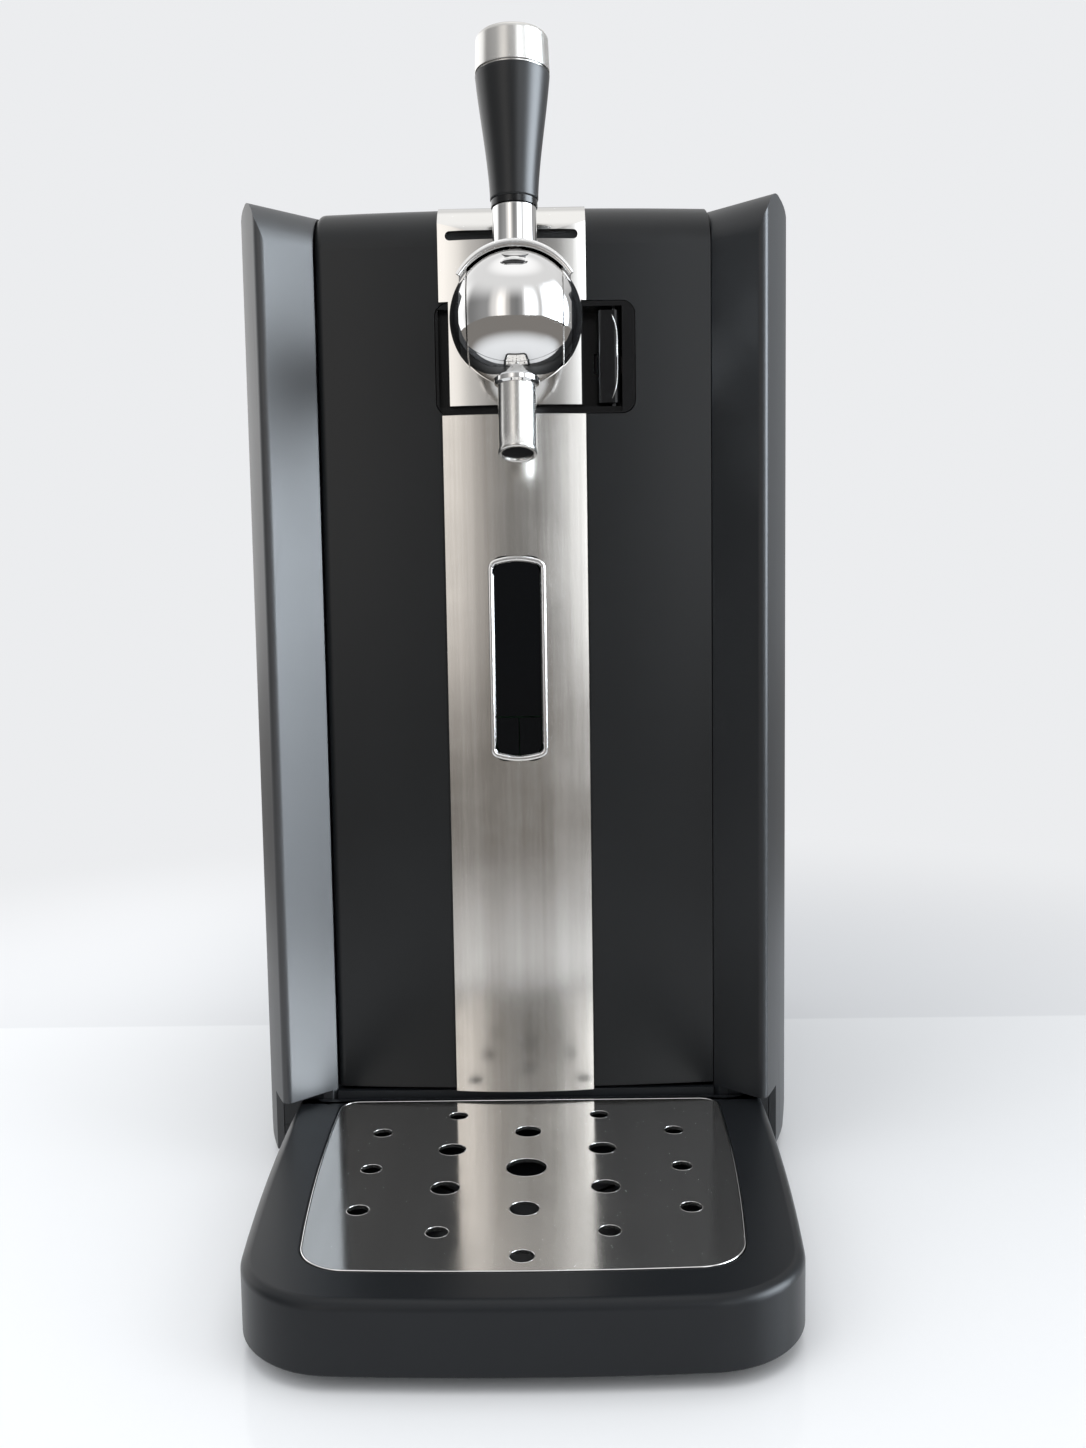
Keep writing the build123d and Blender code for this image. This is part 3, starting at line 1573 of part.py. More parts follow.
with BuildPart() as spout:
    with BuildSketch(spout_line.offset(spout_start)):
        Circle(spout_radius)
        Circle(spout_bore, mode=Mode.SUBTRACT)
    extrude(amount=spout_end - spout_start)
    mouth_plane = spout_line.offset(spout_end - spout_radius * sin(radians(spout_cut)))
    with BuildSketch(mouth_plane.rotated((-spout_cut, 0, 0))):
        Rectangle(reach, reach)
    extrude(amount=reach, mode=Mode.SUBTRACT)
finish(spout.part, "spout")

with BuildPart() as spout_collar:
    with BuildSketch(spout_line.offset(ball_radius - collar_inset)):
        Circle(spout_radius + collar_wide)
        Circle(spout_radius, mode=Mode.SUBTRACT)
    extrude(amount=collar_long)
finish(spout_collar.part, "spout_collar")

with BuildPart() as cap_room:
    with Locations(ball_place):
        Sphere(2 * ball_radius)
        Sphere(cap_inner, mode=Mode.SUBTRACT)
    add(cap_side.part, mode=Mode.INTERSECT)

with BuildPart() as tap_housing:
    with Locations(ball_place):
        Sphere(ball_radius - ball_waist)
    add(cap_room.part, mode=Mode.SUBTRACT)
    with Locations(ball_place):
        Box(2 * housing_half, reach, reach, mode=Mode.INTERSECT)
    with BuildSketch(tap_plane.offset(-plate_seat)):
        Circle(ball_radius * stem_share)
    extrude(amount=plate_seat + tap_ahead - margin)
    add(tap_plate.part, mode=Mode.SUBTRACT)
    with BuildSketch(tap_plane.offset(-liner_front)):
        Circle(shank_radius)
    extrude(amount=liner_front + margin)
    # beer line, plunger and pivot bores
    with BuildSketch(tap_plane.offset(-liner_front)):
        Circle(line_radius)
    extrude(amount=liner_front + tap_ahead, mode=Mode.SUBTRACT)
    with Locations(ball_place):
        Sphere(line_radius, mode=Mode.SUBTRACT)
    with BuildSketch(spout_line):
        Circle(line_radius)
    extrude(amount=reach, mode=Mode.SUBTRACT)
    with BuildSketch(spout_line.offset(spout_start)):
        Circle(spout_radius)
    extrude(amount=reach, mode=Mode.SUBTRACT)
    with BuildSketch(spout_line.offset(ball_radius - collar_inset)):
        Circle(spout_radius + collar_wide)
    extrude(amount=reach, mode=Mode.SUBTRACT)
    with Locations(ball_place):
        Cylinder(
            plunger_radius + fit_gap,
            plunger_radius + plunger_room,
            align=(Align.CENTER, Align.CENTER, Align.MIN),
            mode=Mode.SUBTRACT,
        )
        for side in (-1, 1):
            with Locations(Pos(side * (housing_half + pin_room_start) / 2, 0, 0)):
                Cylinder(
                    pivot_radius + pin_play,
                    housing_half - pin_room_start,
                    rotation=(0, 90, 0),
                    mode=Mode.SUBTRACT,
                )
finish(tap_housing.part, "tap_housing")

notch_line = Plane(
    tap_middle,
    x_dir=(1, 0, 0),
    z_dir=(0, -cos(radians(notch_rise)), sin(radians(notch_rise))),
)
with BuildPart() as ball_front_cap:
    with Locations(ball_place):
        Sphere(ball_radius)
        Sphere(cap_inner, mode=Mode.SUBTRACT)
        Box(2 * cap_half, reach, reach, mode=Mode.INTERSECT)
    add(cap_side.part, mode=Mode.INTERSECT)
    with BuildSketch(notch_line.offset(cap_inner - 1)):
        SlotOverall(*cap_notch)
    extrude(amount=2 * cap_thick, mode=Mode.SUBTRACT)
finish(ball_front_cap.part, "ball_front_cap")

with BuildPart() as pinch_plunger:
    with Locations(ball_place):
        with Locations(Pos(0, 0, -plunger_radius)):
            Cylinder(
                plunger_radius,
                plunger_radius + plunger_high,
                align=(Align.CENTER, Align.CENTER, Align.MIN),
            )
finish(pinch_plunger.part, "pinch_plunger")

with BuildPart() as tap_nut:
    with BuildSketch(front_at(recess_depth, height=tap_z, across=tap_x)):
        RegularPolygon(nut_flats / 2, nut_sides, major_radius=False)
        Circle(shank_radius, mode=Mode.SUBTRACT)
    extrude(amount=-nut_high)
finish(tap_nut.part, "tap_nut")

# Lever of the tap, built along its own upright and leaned back at the ball's middle
lever_place = ball_place * Rot(-lean, 0, 0)
lever_plane = Plane(lever_place)
yoke_in = housing_half + yoke_play
yoke_out = yoke_in + yoke_arm
lever_side = Plane(lever_place * Rot(90, 0, 0))
in_angle = acos(yoke_in / ball_radius)
out_angle = acos(yoke_out / ball_radius)
mid_angle = (in_angle + out_angle) / 2
with BuildPart() as yoke_ends:
    with BuildSketch(Plane(ball_place * Rot(90, 0, 0))):
        with BuildLine():
            Polyline(
                (yoke_out, ball_radius * sin(out_angle)),
                (yoke_out, pivot_radius),
                (yoke_in, pivot_radius),
                (yoke_in, ball_radius * sin(in_angle)),
            )
            ThreePointArc(
                (yoke_in, ball_radius * sin(in_angle)),
                (ball_radius * cos(mid_angle), ball_radius * sin(mid_angle)),
                (yoke_out, ball_radius * sin(out_angle)),
            )
        make_face()
    revolve(axis=Axis(tap_middle, (1, 0, 0)))
    mirror(about=Plane(tap_middle, z_dir=(1, 0, 0)))
with BuildPart() as pin_room:
    with Locations(ball_place):
        Cylinder(pivot_radius, reach, rotation=(0, 90, 0))
with BuildPart() as ball_room:
    with BuildSketch(lever_side):
        Circle(ball_radius + fit_gap)
        Rectangle(2 * yoke_in, reach, mode=Mode.INTERSECT)
    extrude(amount=reach, both=True)
with BuildPart() as yoke_arch:
    with BuildSketch(lever_side):
        with Locations((0, arch_lift)):
            Circle(ball_radius)
        Rectangle(2 * yoke_out, reach, align=(Align.CENTER, Align.MIN), mode=Mode.INTERSECT)
    extrude(amount=arch_half, both=True)
    add(ball_room.part, mode=Mode.SUBTRACT)
    add(pin_room.part, mode=Mode.SUBTRACT)
with BuildPart() as tap_yoke:
    add(yoke_ends.part)
    add(yoke_arch.part)
finish(tap_yoke.part, "tap_yoke")

# each side cap is one piece with the pin that it turns on
with BuildPart() as pivot_caps:
    with BuildSketch(Plane(ball_place * Rot(90, 0, 0))):
        with BuildLine():
            Polyline(
                (ball_radius, 0),
                (pin_inner, 0),
                (pin_inner, pivot_radius),
                (yoke_out, pivot_radius),
                (yoke_out, ball_radius * sin(out_angle)),
            )
            ThreePointArc(
                (yoke_out, ball_radius * sin(out_angle)),
                (ball_radius * cos(out_angle / 2), ball_radius * sin(out_angle / 2)),
                (ball_radius, 0),
            )
        make_face()
    revolve(axis=Axis(tap_middle, (1, 0, 0)))
    mirror(about=Plane(tap_middle, z_dir=(1, 0, 0)))
finish(pivot_caps.part, "pivot_caps")

with BuildPart() as handle_neck:
    with BuildSketch(lever_plane.offset(ball_radius)):
        Circle(neck_radius)
    extrude(amount=neck_top - ball_radius)
    with BuildSketch(lever_side):
        with Locations((0, arch_lift)):
            Circle(ball_radius)
    extrude(amount=reach, both=True, mode=Mode.SUBTRACT)
finish(handle_neck.part, "handle_neck")

with BuildPart() as grip_ring:
    with BuildSketch(lever_plane.offset(neck_top)):
        Circle(neck_radius + 0.5)
    extrude(amount=ring_high)
finish(grip_ring.part, "grip_ring")

ring_top = neck_top + ring_high
grip_length = grip_top - ring_top
with BuildPart() as handle_grip:
    with BuildSketch(lever_side):
        with BuildLine():
            Line((0, ring_top), (neck_radius + 0.5, ring_top))
            Spline(
                (neck_radius + 0.5, ring_top),
                (neck_radius + grip_waist[0], ring_top + grip_waist[1] * grip_length),
                (grip_radius - grip_swell[0], ring_top + grip_swell[1] * grip_length),
                (grip_radius, grip_top),
            )
            Polyline((grip_radius, grip_top), (0, grip_top), (0, ring_top))
        make_face()
    revolve(axis=Axis(tap_middle, lever_plane.z_dir))
finish(handle_grip.part, "handle_grip")

with BuildPart() as handle_cap:
    with BuildSketch(lever_plane.offset(grip_top)):
        Circle(grip_radius)
    extrude(amount=cap_top - grip_top, taper=2)
    fillet(handle_cap.edges().group_by(Axis.Z)[-1], cap_edge)
finish(handle_cap.part, "handle_cap")


def tray_outline(inset, high, depth):
    """Plan of the drip tray, smaller by an inset, extruded down from a height."""
    rear = tray_rear_half - inset
    front_half = tray_front_half - inset
    back = tray_back - inset
    front = inset - tray_reach
    with BuildPart() as form:
        with BuildSketch(plan_at(high)) as plan:
            with BuildLine():
                Line((rear, back), (-rear, back))
                middle = (front + back) / 2
                bulge = (rear + front_half) / 2 + tray_side_bulge
                ThreePointArc((-rear, back), (-bulge, middle), (-front_half, front + tray_front_bulge))
                ThreePointArc(
                    (-front_half, front + tray_front_bulge),
                    (0, front),
                    (front_half, front + tray_front_bulge),
                )
                ThreePointArc((front_half, front + tray_front_bulge), (bulge, middle), (rear, back))
            make_face()
            fillet(plan.vertices().group_by(Axis.Y)[0], tray_corner - inset)
        extrude(amount=-depth)
    return form.part


def grid_outline(grow, high, depth):
    """Plan of the drip grid, larger by a gap, extruded down from a height."""
    rear = grid_rear_half + grow
    front_half = grid_front_half + grow
    back = grid_back + grow
    front = grid_front - grow
    with BuildPart() as form:
        with BuildSketch(plan_at(high)) as plan:
            with BuildLine():
                middle = (front + back) / 2
                bulge = (rear + front_half) / 2 + grid_bulge
                Line((rear, back), (-rear, back))
                ThreePointArc((-rear, back), (-bulge, middle), (-front_half, front + grid_bulge))
                ThreePointArc(
                    (-front_half, front + grid_bulge),
                    (0, front),
                    (front_half, front + grid_bulge),
                )
                ThreePointArc((front_half, front + grid_bulge), (bulge, middle), (rear, back))
            make_face()
            fillet(plan.vertices().group_by(Axis.Y)[0], grid_corner + grow)
            fillet(plan.vertices().group_by(Axis.Y)[-1], grid_rear_corner + grow)
        extrude(amount=-depth)
    return form.part


grid_low = tray_top - grid_thick
beside = Pos(tray_across, 0, 0)
tray_form = beside * tray_outline(0, tray_top, tray_top - foot_height - fit_gap)
tray_hollow = beside * tray_outline(tray_wall, tray_top - tray_edge, tray_top)
basin_form = beside * grid_outline(0, tray_top - tray_edge, tray_top - tray_edge - tray_floor + basin_lap)
grid_seat = beside * grid_outline(fit_gap, tray_top + 1, grid_thick + 1 + fit_gap)
basin_room = beside * grid_outline(-basin_edge, tray_top, tray_top - tray_floor - tray_wall)
grid_form = beside * grid_outline(0, tray_top, grid_thick)
with BuildPart() as drip_tray:
    add(tray_form)
    fillet(drip_tray.edges().group_by(Axis.Z)[-1], tray_edge)
    # room under the tray, around its basin
    add(tray_hollow, mode=Mode.SUBTRACT)
    add(basin_form)
    add(grid_seat, mode=Mode.SUBTRACT)
    add(basin_room, mode=Mode.SUBTRACT)
    # notch over the tongue of the base
    add(
        box_at(
            (-tongue_half - 0.5, -tongue_reach - 0.5, 0),
            (tongue_half + 0.5, tray_back + 1, foot_height + tongue_thick + fit_gap),
        ),
        mode=Mode.SUBTRACT,
    )
finish(drip_tray.part, "drip_tray")

# Rows run from the back: which columns they hold, and the radii at the middle and beside it
rim_columns = (-2 * hole_column, 0, 2 * hole_column)
side_columns = (-hole_column, hole_column)
rows = (
    (side_columns, small_hole, small_hole),
    (rim_columns, wide_hole, small_hole),
    (side_columns, wide_hole, wide_hole),
    (rim_columns, middle_hole, small_hole),
    (side_columns, wide_hole, wide_hole),
    (rim_columns, wide_hole, small_hole),
    (side_columns, small_hole, small_hole),
    ((0,), front_hole, front_hole),
)
with BuildPart() as drip_grid:
    add(grid_form)
    with BuildSketch(plan_at(grid_low)):
        for row, (columns, middle_radius, side_radius) in enumerate(rows):
            for column in columns:
                with Locations((tray_across + column, -hole_first - row * hole_pitch)):
                    Circle(side_radius if column else middle_radius)
    extrude(amount=grid_thick, mode=Mode.SUBTRACT)
finish(drip_grid.part, "drip_grid")
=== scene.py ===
import math
import bmesh
import bpy
import numpy as np
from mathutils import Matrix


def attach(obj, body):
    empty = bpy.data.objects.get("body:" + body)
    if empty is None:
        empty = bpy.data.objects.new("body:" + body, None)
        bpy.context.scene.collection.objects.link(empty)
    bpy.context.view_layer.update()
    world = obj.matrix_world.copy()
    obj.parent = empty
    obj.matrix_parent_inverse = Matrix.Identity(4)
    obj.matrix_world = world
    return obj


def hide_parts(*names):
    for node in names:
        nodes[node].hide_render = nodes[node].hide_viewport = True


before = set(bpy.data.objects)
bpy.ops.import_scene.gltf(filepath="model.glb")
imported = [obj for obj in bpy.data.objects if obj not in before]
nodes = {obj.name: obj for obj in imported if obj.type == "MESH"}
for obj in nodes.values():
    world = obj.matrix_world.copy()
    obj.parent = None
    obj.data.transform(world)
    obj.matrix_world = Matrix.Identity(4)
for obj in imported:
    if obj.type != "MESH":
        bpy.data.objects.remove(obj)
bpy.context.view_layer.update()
scene = bpy.context.scene
mm = 0.001
stripFace = -0.047          # the strip's front face lies this far along Y from the middle of the footprint
fullTurn = 2 * math.pi
print("frame loaded:", len(nodes), "nodes")

# Camera
cameraValues = {
    "place": (0.01633, -0.62063, 0.25830),
    "tilt": 84.757,         # degrees from straight down
    "roll": 0.862,
    "turn": 0.482,
    "lens": 31.82,
    "nearest": 0.01,
}


def makeCamera(values):
    data = bpy.data.cameras.new("camera")
    data.lens = values["lens"]
    data.clip_start = values["nearest"]
    camera = bpy.data.objects.new("camera", data)
    camera.location = values["place"]
    camera.rotation_euler = [math.radians(values[key]) for key in ("tilt", "roll", "turn")]
    scene.collection.objects.link(camera)
    scene.camera = camera


makeCamera(cameraValues)
scene.view_settings.view_transform = "Standard"


# Shader nodes. An input that is given a socket is linked to it; any other value is set
def setInputs(tree, node, inputs):
    for key, value in inputs.items():
        if isinstance(value, bpy.types.NodeSocket):
            tree.links.new(value, node.inputs[key])
        else:
            node.inputs[key].default_value = value


def addNode(tree, kind, inputs=None, **settings):
    node = tree.nodes.new(kind)
    for key, value in settings.items():
        setattr(node, key, value)
    setInputs(tree, node, inputs or {})
    return node


def mathNode(tree, operation, *terms):
    return addNode(tree, "ShaderNodeMath", dict(enumerate(terms)), operation=operation).outputs[0]


# A value's way from low to high, turned into one from start to end and held there
def rangeNode(tree, value, low, high, start=0, end=1, kind="LINEAR"):
    inputs = dict(enumerate((value, low, high, start, end)))
    return addNode(tree, "ShaderNodeMapRange", inputs, interpolation_type=kind).outputs[0]


# The colour sockets of this node share their names with others, so they go by number
def mixColors(tree, share, first, second):
    return addNode(tree, "ShaderNodeMix", {0: share, 6: first, 7: second}, data_type="RGBA").outputs[2]


def mixShaders(tree, share, first, second):
    return addNode(tree, "ShaderNodeMixShader", {0: share, 1: first, 2: second}).outputs[0]


def noiseNode(tree, place, scale, detail, roughness):
    inputs = {"Vector": place, "Scale": scale, "Detail": detail, "Roughness": roughness}
    return addNode(tree, "ShaderNodeTexNoise", inputs).outputs["Fac"]


# Light and background. The lamps give soft shade; what shines and mirrors sees a plain studio instead:
# a white wall behind, a dim middle in front, pale screens to both sides of it and a bright panel far right.
lightValues = {
    "plain": (0.93, 0.96, 1, 1),
    "strength": 0.77,
    "wall": (0.838, 0.847, 0.863, 1),
    "studioStrength": 16,
    "studio": [             # degrees to the right of straight ahead, the grey seen there, and its warmth
        (-180, 0.45, 0),
        (-160, 1.6, 0),
        (-108, 1.6, 0),
        (-84, 0.24, 0),
        (-50, 0.35, 0),
        (-36, 0.9, 0.02),
        (-26, 1.5, 0.04),
        (-19, 1.3, 0.04),
        (-13, 0.62, 0.03),
        (-5, 0.27, 0.01),
        (3, 0.24, 0),
        (11, 0.36, 0),
        (15.5, 0.9, -0.01),
        (20, 3.1, -0.03),
        (30, 2.7, -0.04),
        (44, 0.7, 0),
        (58, 4.5, -0.06),
        (66, 16, -0.09),
        (92, 16, -0.09),
        (106, 0.45, 0),
        (180, 0.45, 0),
    ],
    "above": [              # from one height of the direction to another it turns into this grey
        (0.3, 0.75, 0.9),
        (0.84, 0.97, 1.25),
    ],
    "lamps": {
        "leftWindow": {"place": (-1.1, -1.0, 0.9), "aim": (0, 0, 0.2), "size": (0.9, 1.3), "watts": 4.5},
        "rightPanel": {"place": (1.3, -0.7, 0.7), "aim": (0, 0, 0.2), "size": (0.7, 1.3), "watts": 4.5},
        "ceilingPanel": {"place": (0, -0.3, 1.7), "aim": (0, 0, 0.1), "size": (1.4, 1.4), "watts": 8},
    },
}


def makeLamp(name, values):
    data = bpy.data.lights.new(name, "AREA")
    data.shape = "RECTANGLE"
    data.size, data.size_y = values["size"]
    data.energy = values["watts"]
    lamp = bpy.data.objects.new(name, data)
    lamp.location = values["place"]
    aim = np.array(values["aim"]) - np.array(values["place"])
    flat = math.hypot(aim[0], aim[1])
    lamp.rotation_euler = (math.atan2(flat, -aim[2]), 0, math.atan2(-aim[0], aim[1]))
    lamp.visible_glossy = False
    scene.collection.objects.link(lamp)


def makeWorld(values):
    world = bpy.data.worlds.new("studio")
    world.use_nodes = True
    world.cycles.sampling_method = "NONE"
    tree = world.node_tree
    brightest = values["studioStrength"]
    plain = tree.nodes["Background"]
    setInputs(tree, plain, {"Color": values["plain"], "Strength": values["strength"]})
    shown = addNode(tree, "ShaderNodeBackground", {"Color": values["wall"], "Strength": 1})
    # the bearing of a direction picks its grey; upwards it becomes the ceiling
    place = addNode(tree, "ShaderNodeTexCoord")
    direction = addNode(tree, "ShaderNodeSeparateXYZ", {0: place.outputs["Generated"]}).outputs
    ahead = mathNode(tree, "MULTIPLY", direction["Y"], -1)
    bearing = mathNode(tree, "ARCTAN2", direction["X"], ahead)
    share = mathNode(tree, "MULTIPLY_ADD", bearing, 1 / fullTurn, 0.5)
    ramp = addNode(tree, "ShaderNodeValToRGB", {0: share})
    ramp.color_ramp.interpolation = "EASE"
    stops = ramp.color_ramp.elements
    last = len(values["studio"]) - 1
    for i, (degrees, grey, warmth) in enumerate(values["studio"]):
        stop = stops[i] if i in (0, last) else stops.new(degrees / 360 + 0.5)
        level = grey / brightest
        stop.color = (level * (1 + warmth), level, level * (1 - warmth), 1)
    seen = ramp.outputs[0]
    for low, high, grey in values["above"]:
        level = grey / brightest
        steep = rangeNode(tree, direction["Z"], low, high, kind="SMOOTHSTEP")
        seen = mixColors(tree, steep, seen, (level, level, level, 1))
    studio = addNode(tree, "ShaderNodeBackground", {"Color": seen, "Strength": brightest})
    path = addNode(tree, "ShaderNodeLightPath").outputs
    shiny = mathNode(tree, "MAXIMUM", path["Is Glossy Ray"], path["Is Transmission Ray"])
    inner = mixShaders(tree, shiny, plain.outputs[0], studio.outputs[0])
    outer = mixShaders(tree, path["Is Camera Ray"], inner, shown.outputs[0])
    setInputs(tree, tree.nodes["World Output"], {0: outer})
    scene.world = world


makeWorld(lightValues)
for lampName, lampValues in lightValues["lamps"].items():
    makeLamp(lampName, lampValues)
print("camera and light ready")


# Shared effects, as node groups that give a height, a roughness and a colour
def newGroup(name, inputs):
    group = bpy.data.node_groups.new(name, "ShaderNodeTree")
    for label, kind, value in inputs:
        socket = group.interface.new_socket(label, in_out="INPUT", socket_type=kind)
        socket.default_value = value
    for label, kind in (
        ("Height", "NodeSocketFloat"),
        ("Roughness", "NodeSocketFloat"),
        ("Color", "NodeSocketColor"),
    ):
        group.interface.new_socket(label, in_out="OUTPUT", socket_type=kind)
    given = addNode(group, "NodeGroupInput").outputs
    place = addNode(group, "ShaderNodeTexCoord").outputs["Object"]
    return group, given, place


# roughness + wander * (noise - 0.5)
def wanderingRoughness(group, given, noise):
    centred = mathNode(group, "SUBTRACT", noise, 0.5)
    return mathNode(group, "MULTIPLY_ADD", centred, given["Wander"], given["Roughness"])


skinValues = {
    "grainDetail": (3, 0.6),
    "slant": (0.3, 0.9, 0.5),
    "hairScale": (55, 6, 4),
    "hairDetail": (1, 0.4),
    "hairWidth": 0.004,
    "patches": (11, 2, 0.5),
    "patchRange": (0.58, 0.7),
    "blotches": (14, 5, 0.65),
}


# Moulded skin: fine grain for the bump, slow blotches in colour and gloss, and a few hair scratches
def mouldedSkinGroup(values):
    group, given, place = newGroup(
        "mouldedSkin",
        [
            ("Grain Scale", "NodeSocketFloat", 1400),
            ("Roughness", "NodeSocketFloat", 0.45),
            ("Wander", "NodeSocketFloat", 0.06),
            ("Scratches", "NodeSocketFloat", 0.15),
            ("Dark", "NodeSocketColor", (0.02, 0.02, 0.02, 1)),
            ("Light", "NodeSocketColor", (0.03, 0.03, 0.03, 1)),
        ],
    )
    grain = noiseNode(group, place, given["Grain Scale"], *values["grainDetail"])
    # hair scratches: thin level lines of a noise that is drawn out along a slant
    drawn = {"Vector": place, "Rotation": values["slant"], "Scale": values["hairScale"]}
    slant = addNode(group, "ShaderNodeMapping", drawn).outputs[0]
    hair = noiseNode(group, slant, 1, *values["hairDetail"])
    near = mathNode(group, "ABSOLUTE", mathNode(group, "SUBTRACT", hair, 0.5))
    line = rangeNode(group, near, 0, values["hairWidth"], 1, 0)
    patch = rangeNode(group, noiseNode(group, place, *values["patches"]), *values["patchRange"])
    scratch = mathNode(group, "MULTIPLY", mathNode(group, "MULTIPLY", line, patch), given["Scratches"])
    blotch = noiseNode(group, place, *values["blotches"])
    results = {
        "Height": mathNode(group, "SUBTRACT", grain, scratch),
        "Roughness": mathNode(group, "ADD", wanderingRoughness(group, given, blotch), scratch),
        "Color": mixColors(group, blotch, given["Dark"], given["Light"]),
    }
    addNode(group, "NodeGroupOutput", results)
    return group


brushValues = {
    "fineDetail": (4, 0.7),
    "broadDetail": (4, 0.55),
    "bandRange": (0.35, 0.65),
    "smudges": (18, 4, 0.6),
    "smudgeRange": (0.4, 0.75),
    "smudgeRoughness": 0.1,
}


# Brushed lines: noise drawn out along one axis, once fine for the bump and once broad for the colour bands
def brushedLinesGroup(values):
    group, given, place = newGroup(
        "brushedLines",
        [
            ("Stretch", "NodeSocketVector", (1, 1, 0.01)),
            ("Fine Scale", "NodeSocketFloat", 2500),
            ("Broad Scale", "NodeSocketFloat", 60),
            ("Roughness", "NodeSocketFloat", 0.28),
            ("Wander", "NodeSocketFloat", 0.12),
            ("Dark", "NodeSocketColor", (0.4, 0.4, 0.4, 1)),
            ("Light", "NodeSocketColor", (0.7, 0.7, 0.7, 1)),
        ],
    )
    stretch = {0: place, 1: given["Stretch"]}
    drawn = addNode(group, "ShaderNodeVectorMath", stretch, operation="MULTIPLY").outputs[0]
    fine = noiseNode(group, drawn, given["Fine Scale"], *values["fineDetail"])
    broad = noiseNode(group, drawn, given["Broad Scale"], *values["broadDetail"])
    band = rangeNode(group, broad, *values["bandRange"])
    # smudges left by wiping
    smudge = noiseNode(group, place, *values["smudges"])
    wiped = rangeNode(group, smudge, *values["smudgeRange"], 0, values["smudgeRoughness"])
    results = {
        "Height": fine,
        "Roughness": mathNode(group, "ADD", wanderingRoughness(group, given, fine), wiped),
        "Color": mixColors(group, band, given["Dark"], given["Light"]),
    }
    addNode(group, "NodeGroupOutput", results)
    return group


skinGroup = mouldedSkinGroup(skinValues)
brushGroup = brushedLinesGroup(brushValues)

# Materials: one of the two effects feeds colour, roughness and bump
finishValues = {
    "bumpDepth": 0.0001,
    "plasticScratches": 0.1,
    "polishGrain": 90,
    "polishWander": 0.03,
    "polishScratches": 0.06,
    "polishBump": 0.01,
}


def finishMaterial(name, group, effectValues, shaderValues, bumpStrength):
    material = bpy.data.materials.new(name)
    material.use_nodes = True
    tree = material.node_tree
    effect = addNode(tree, "ShaderNodeGroup", effectValues, node_tree=group).outputs
    relief = {"Strength": bumpStrength, "Distance": finishValues["bumpDepth"], "Height": effect["Height"]}
    bump = addNode(tree, "ShaderNodeBump", relief).outputs["Normal"]
    surface = {"Base Color": effect["Color"], "Roughness": effect["Roughness"], "Normal": bump}
    setInputs(tree, tree.nodes["Principled BSDF"], {**shaderValues, **surface})
    return material


def mouldedPlastic(name, dark, light, roughness, shine=0.5, wander=0.06, grain=1400, bump=0.12):
    values = {
        "Grain Scale": grain,
        "Roughness": roughness,
        "Wander": wander,
        "Scratches": finishValues["plasticScratches"],
        "Dark": (*dark, 1),
        "Light": (*light, 1),
    }
    return finishMaterial(name, skinGroup, values, {"Specular IOR Level": shine}, bump)


def brushedMetal(
    name, dark, light, roughness, stretch, wander=0.12, fine=2500, broad=60, bump=0.05, metallic=1
):
    values = {
        "Stretch": stretch,
        "Fine Scale": fine,
        "Broad Scale": broad,
        "Roughness": roughness,
        "Wander": wander,
        "Dark": (*dark, 1),
        "Light": (*light, 1),
    }
    return finishMaterial(name, brushGroup, values, {"Metallic": metallic}, bump)


def polishedMetal(name, dark, light, roughness):
    values = {
        "Grain Scale": finishValues["polishGrain"],
        "Roughness": roughness,
        "Wander": finishValues["polishWander"],
        "Scratches": finishValues["polishScratches"],
        "Dark": (*dark, 1),
        "Light": (*light, 1),
    }
    return finishMaterial(name, skinGroup, values, {"Metallic": 1}, finishValues["polishBump"])


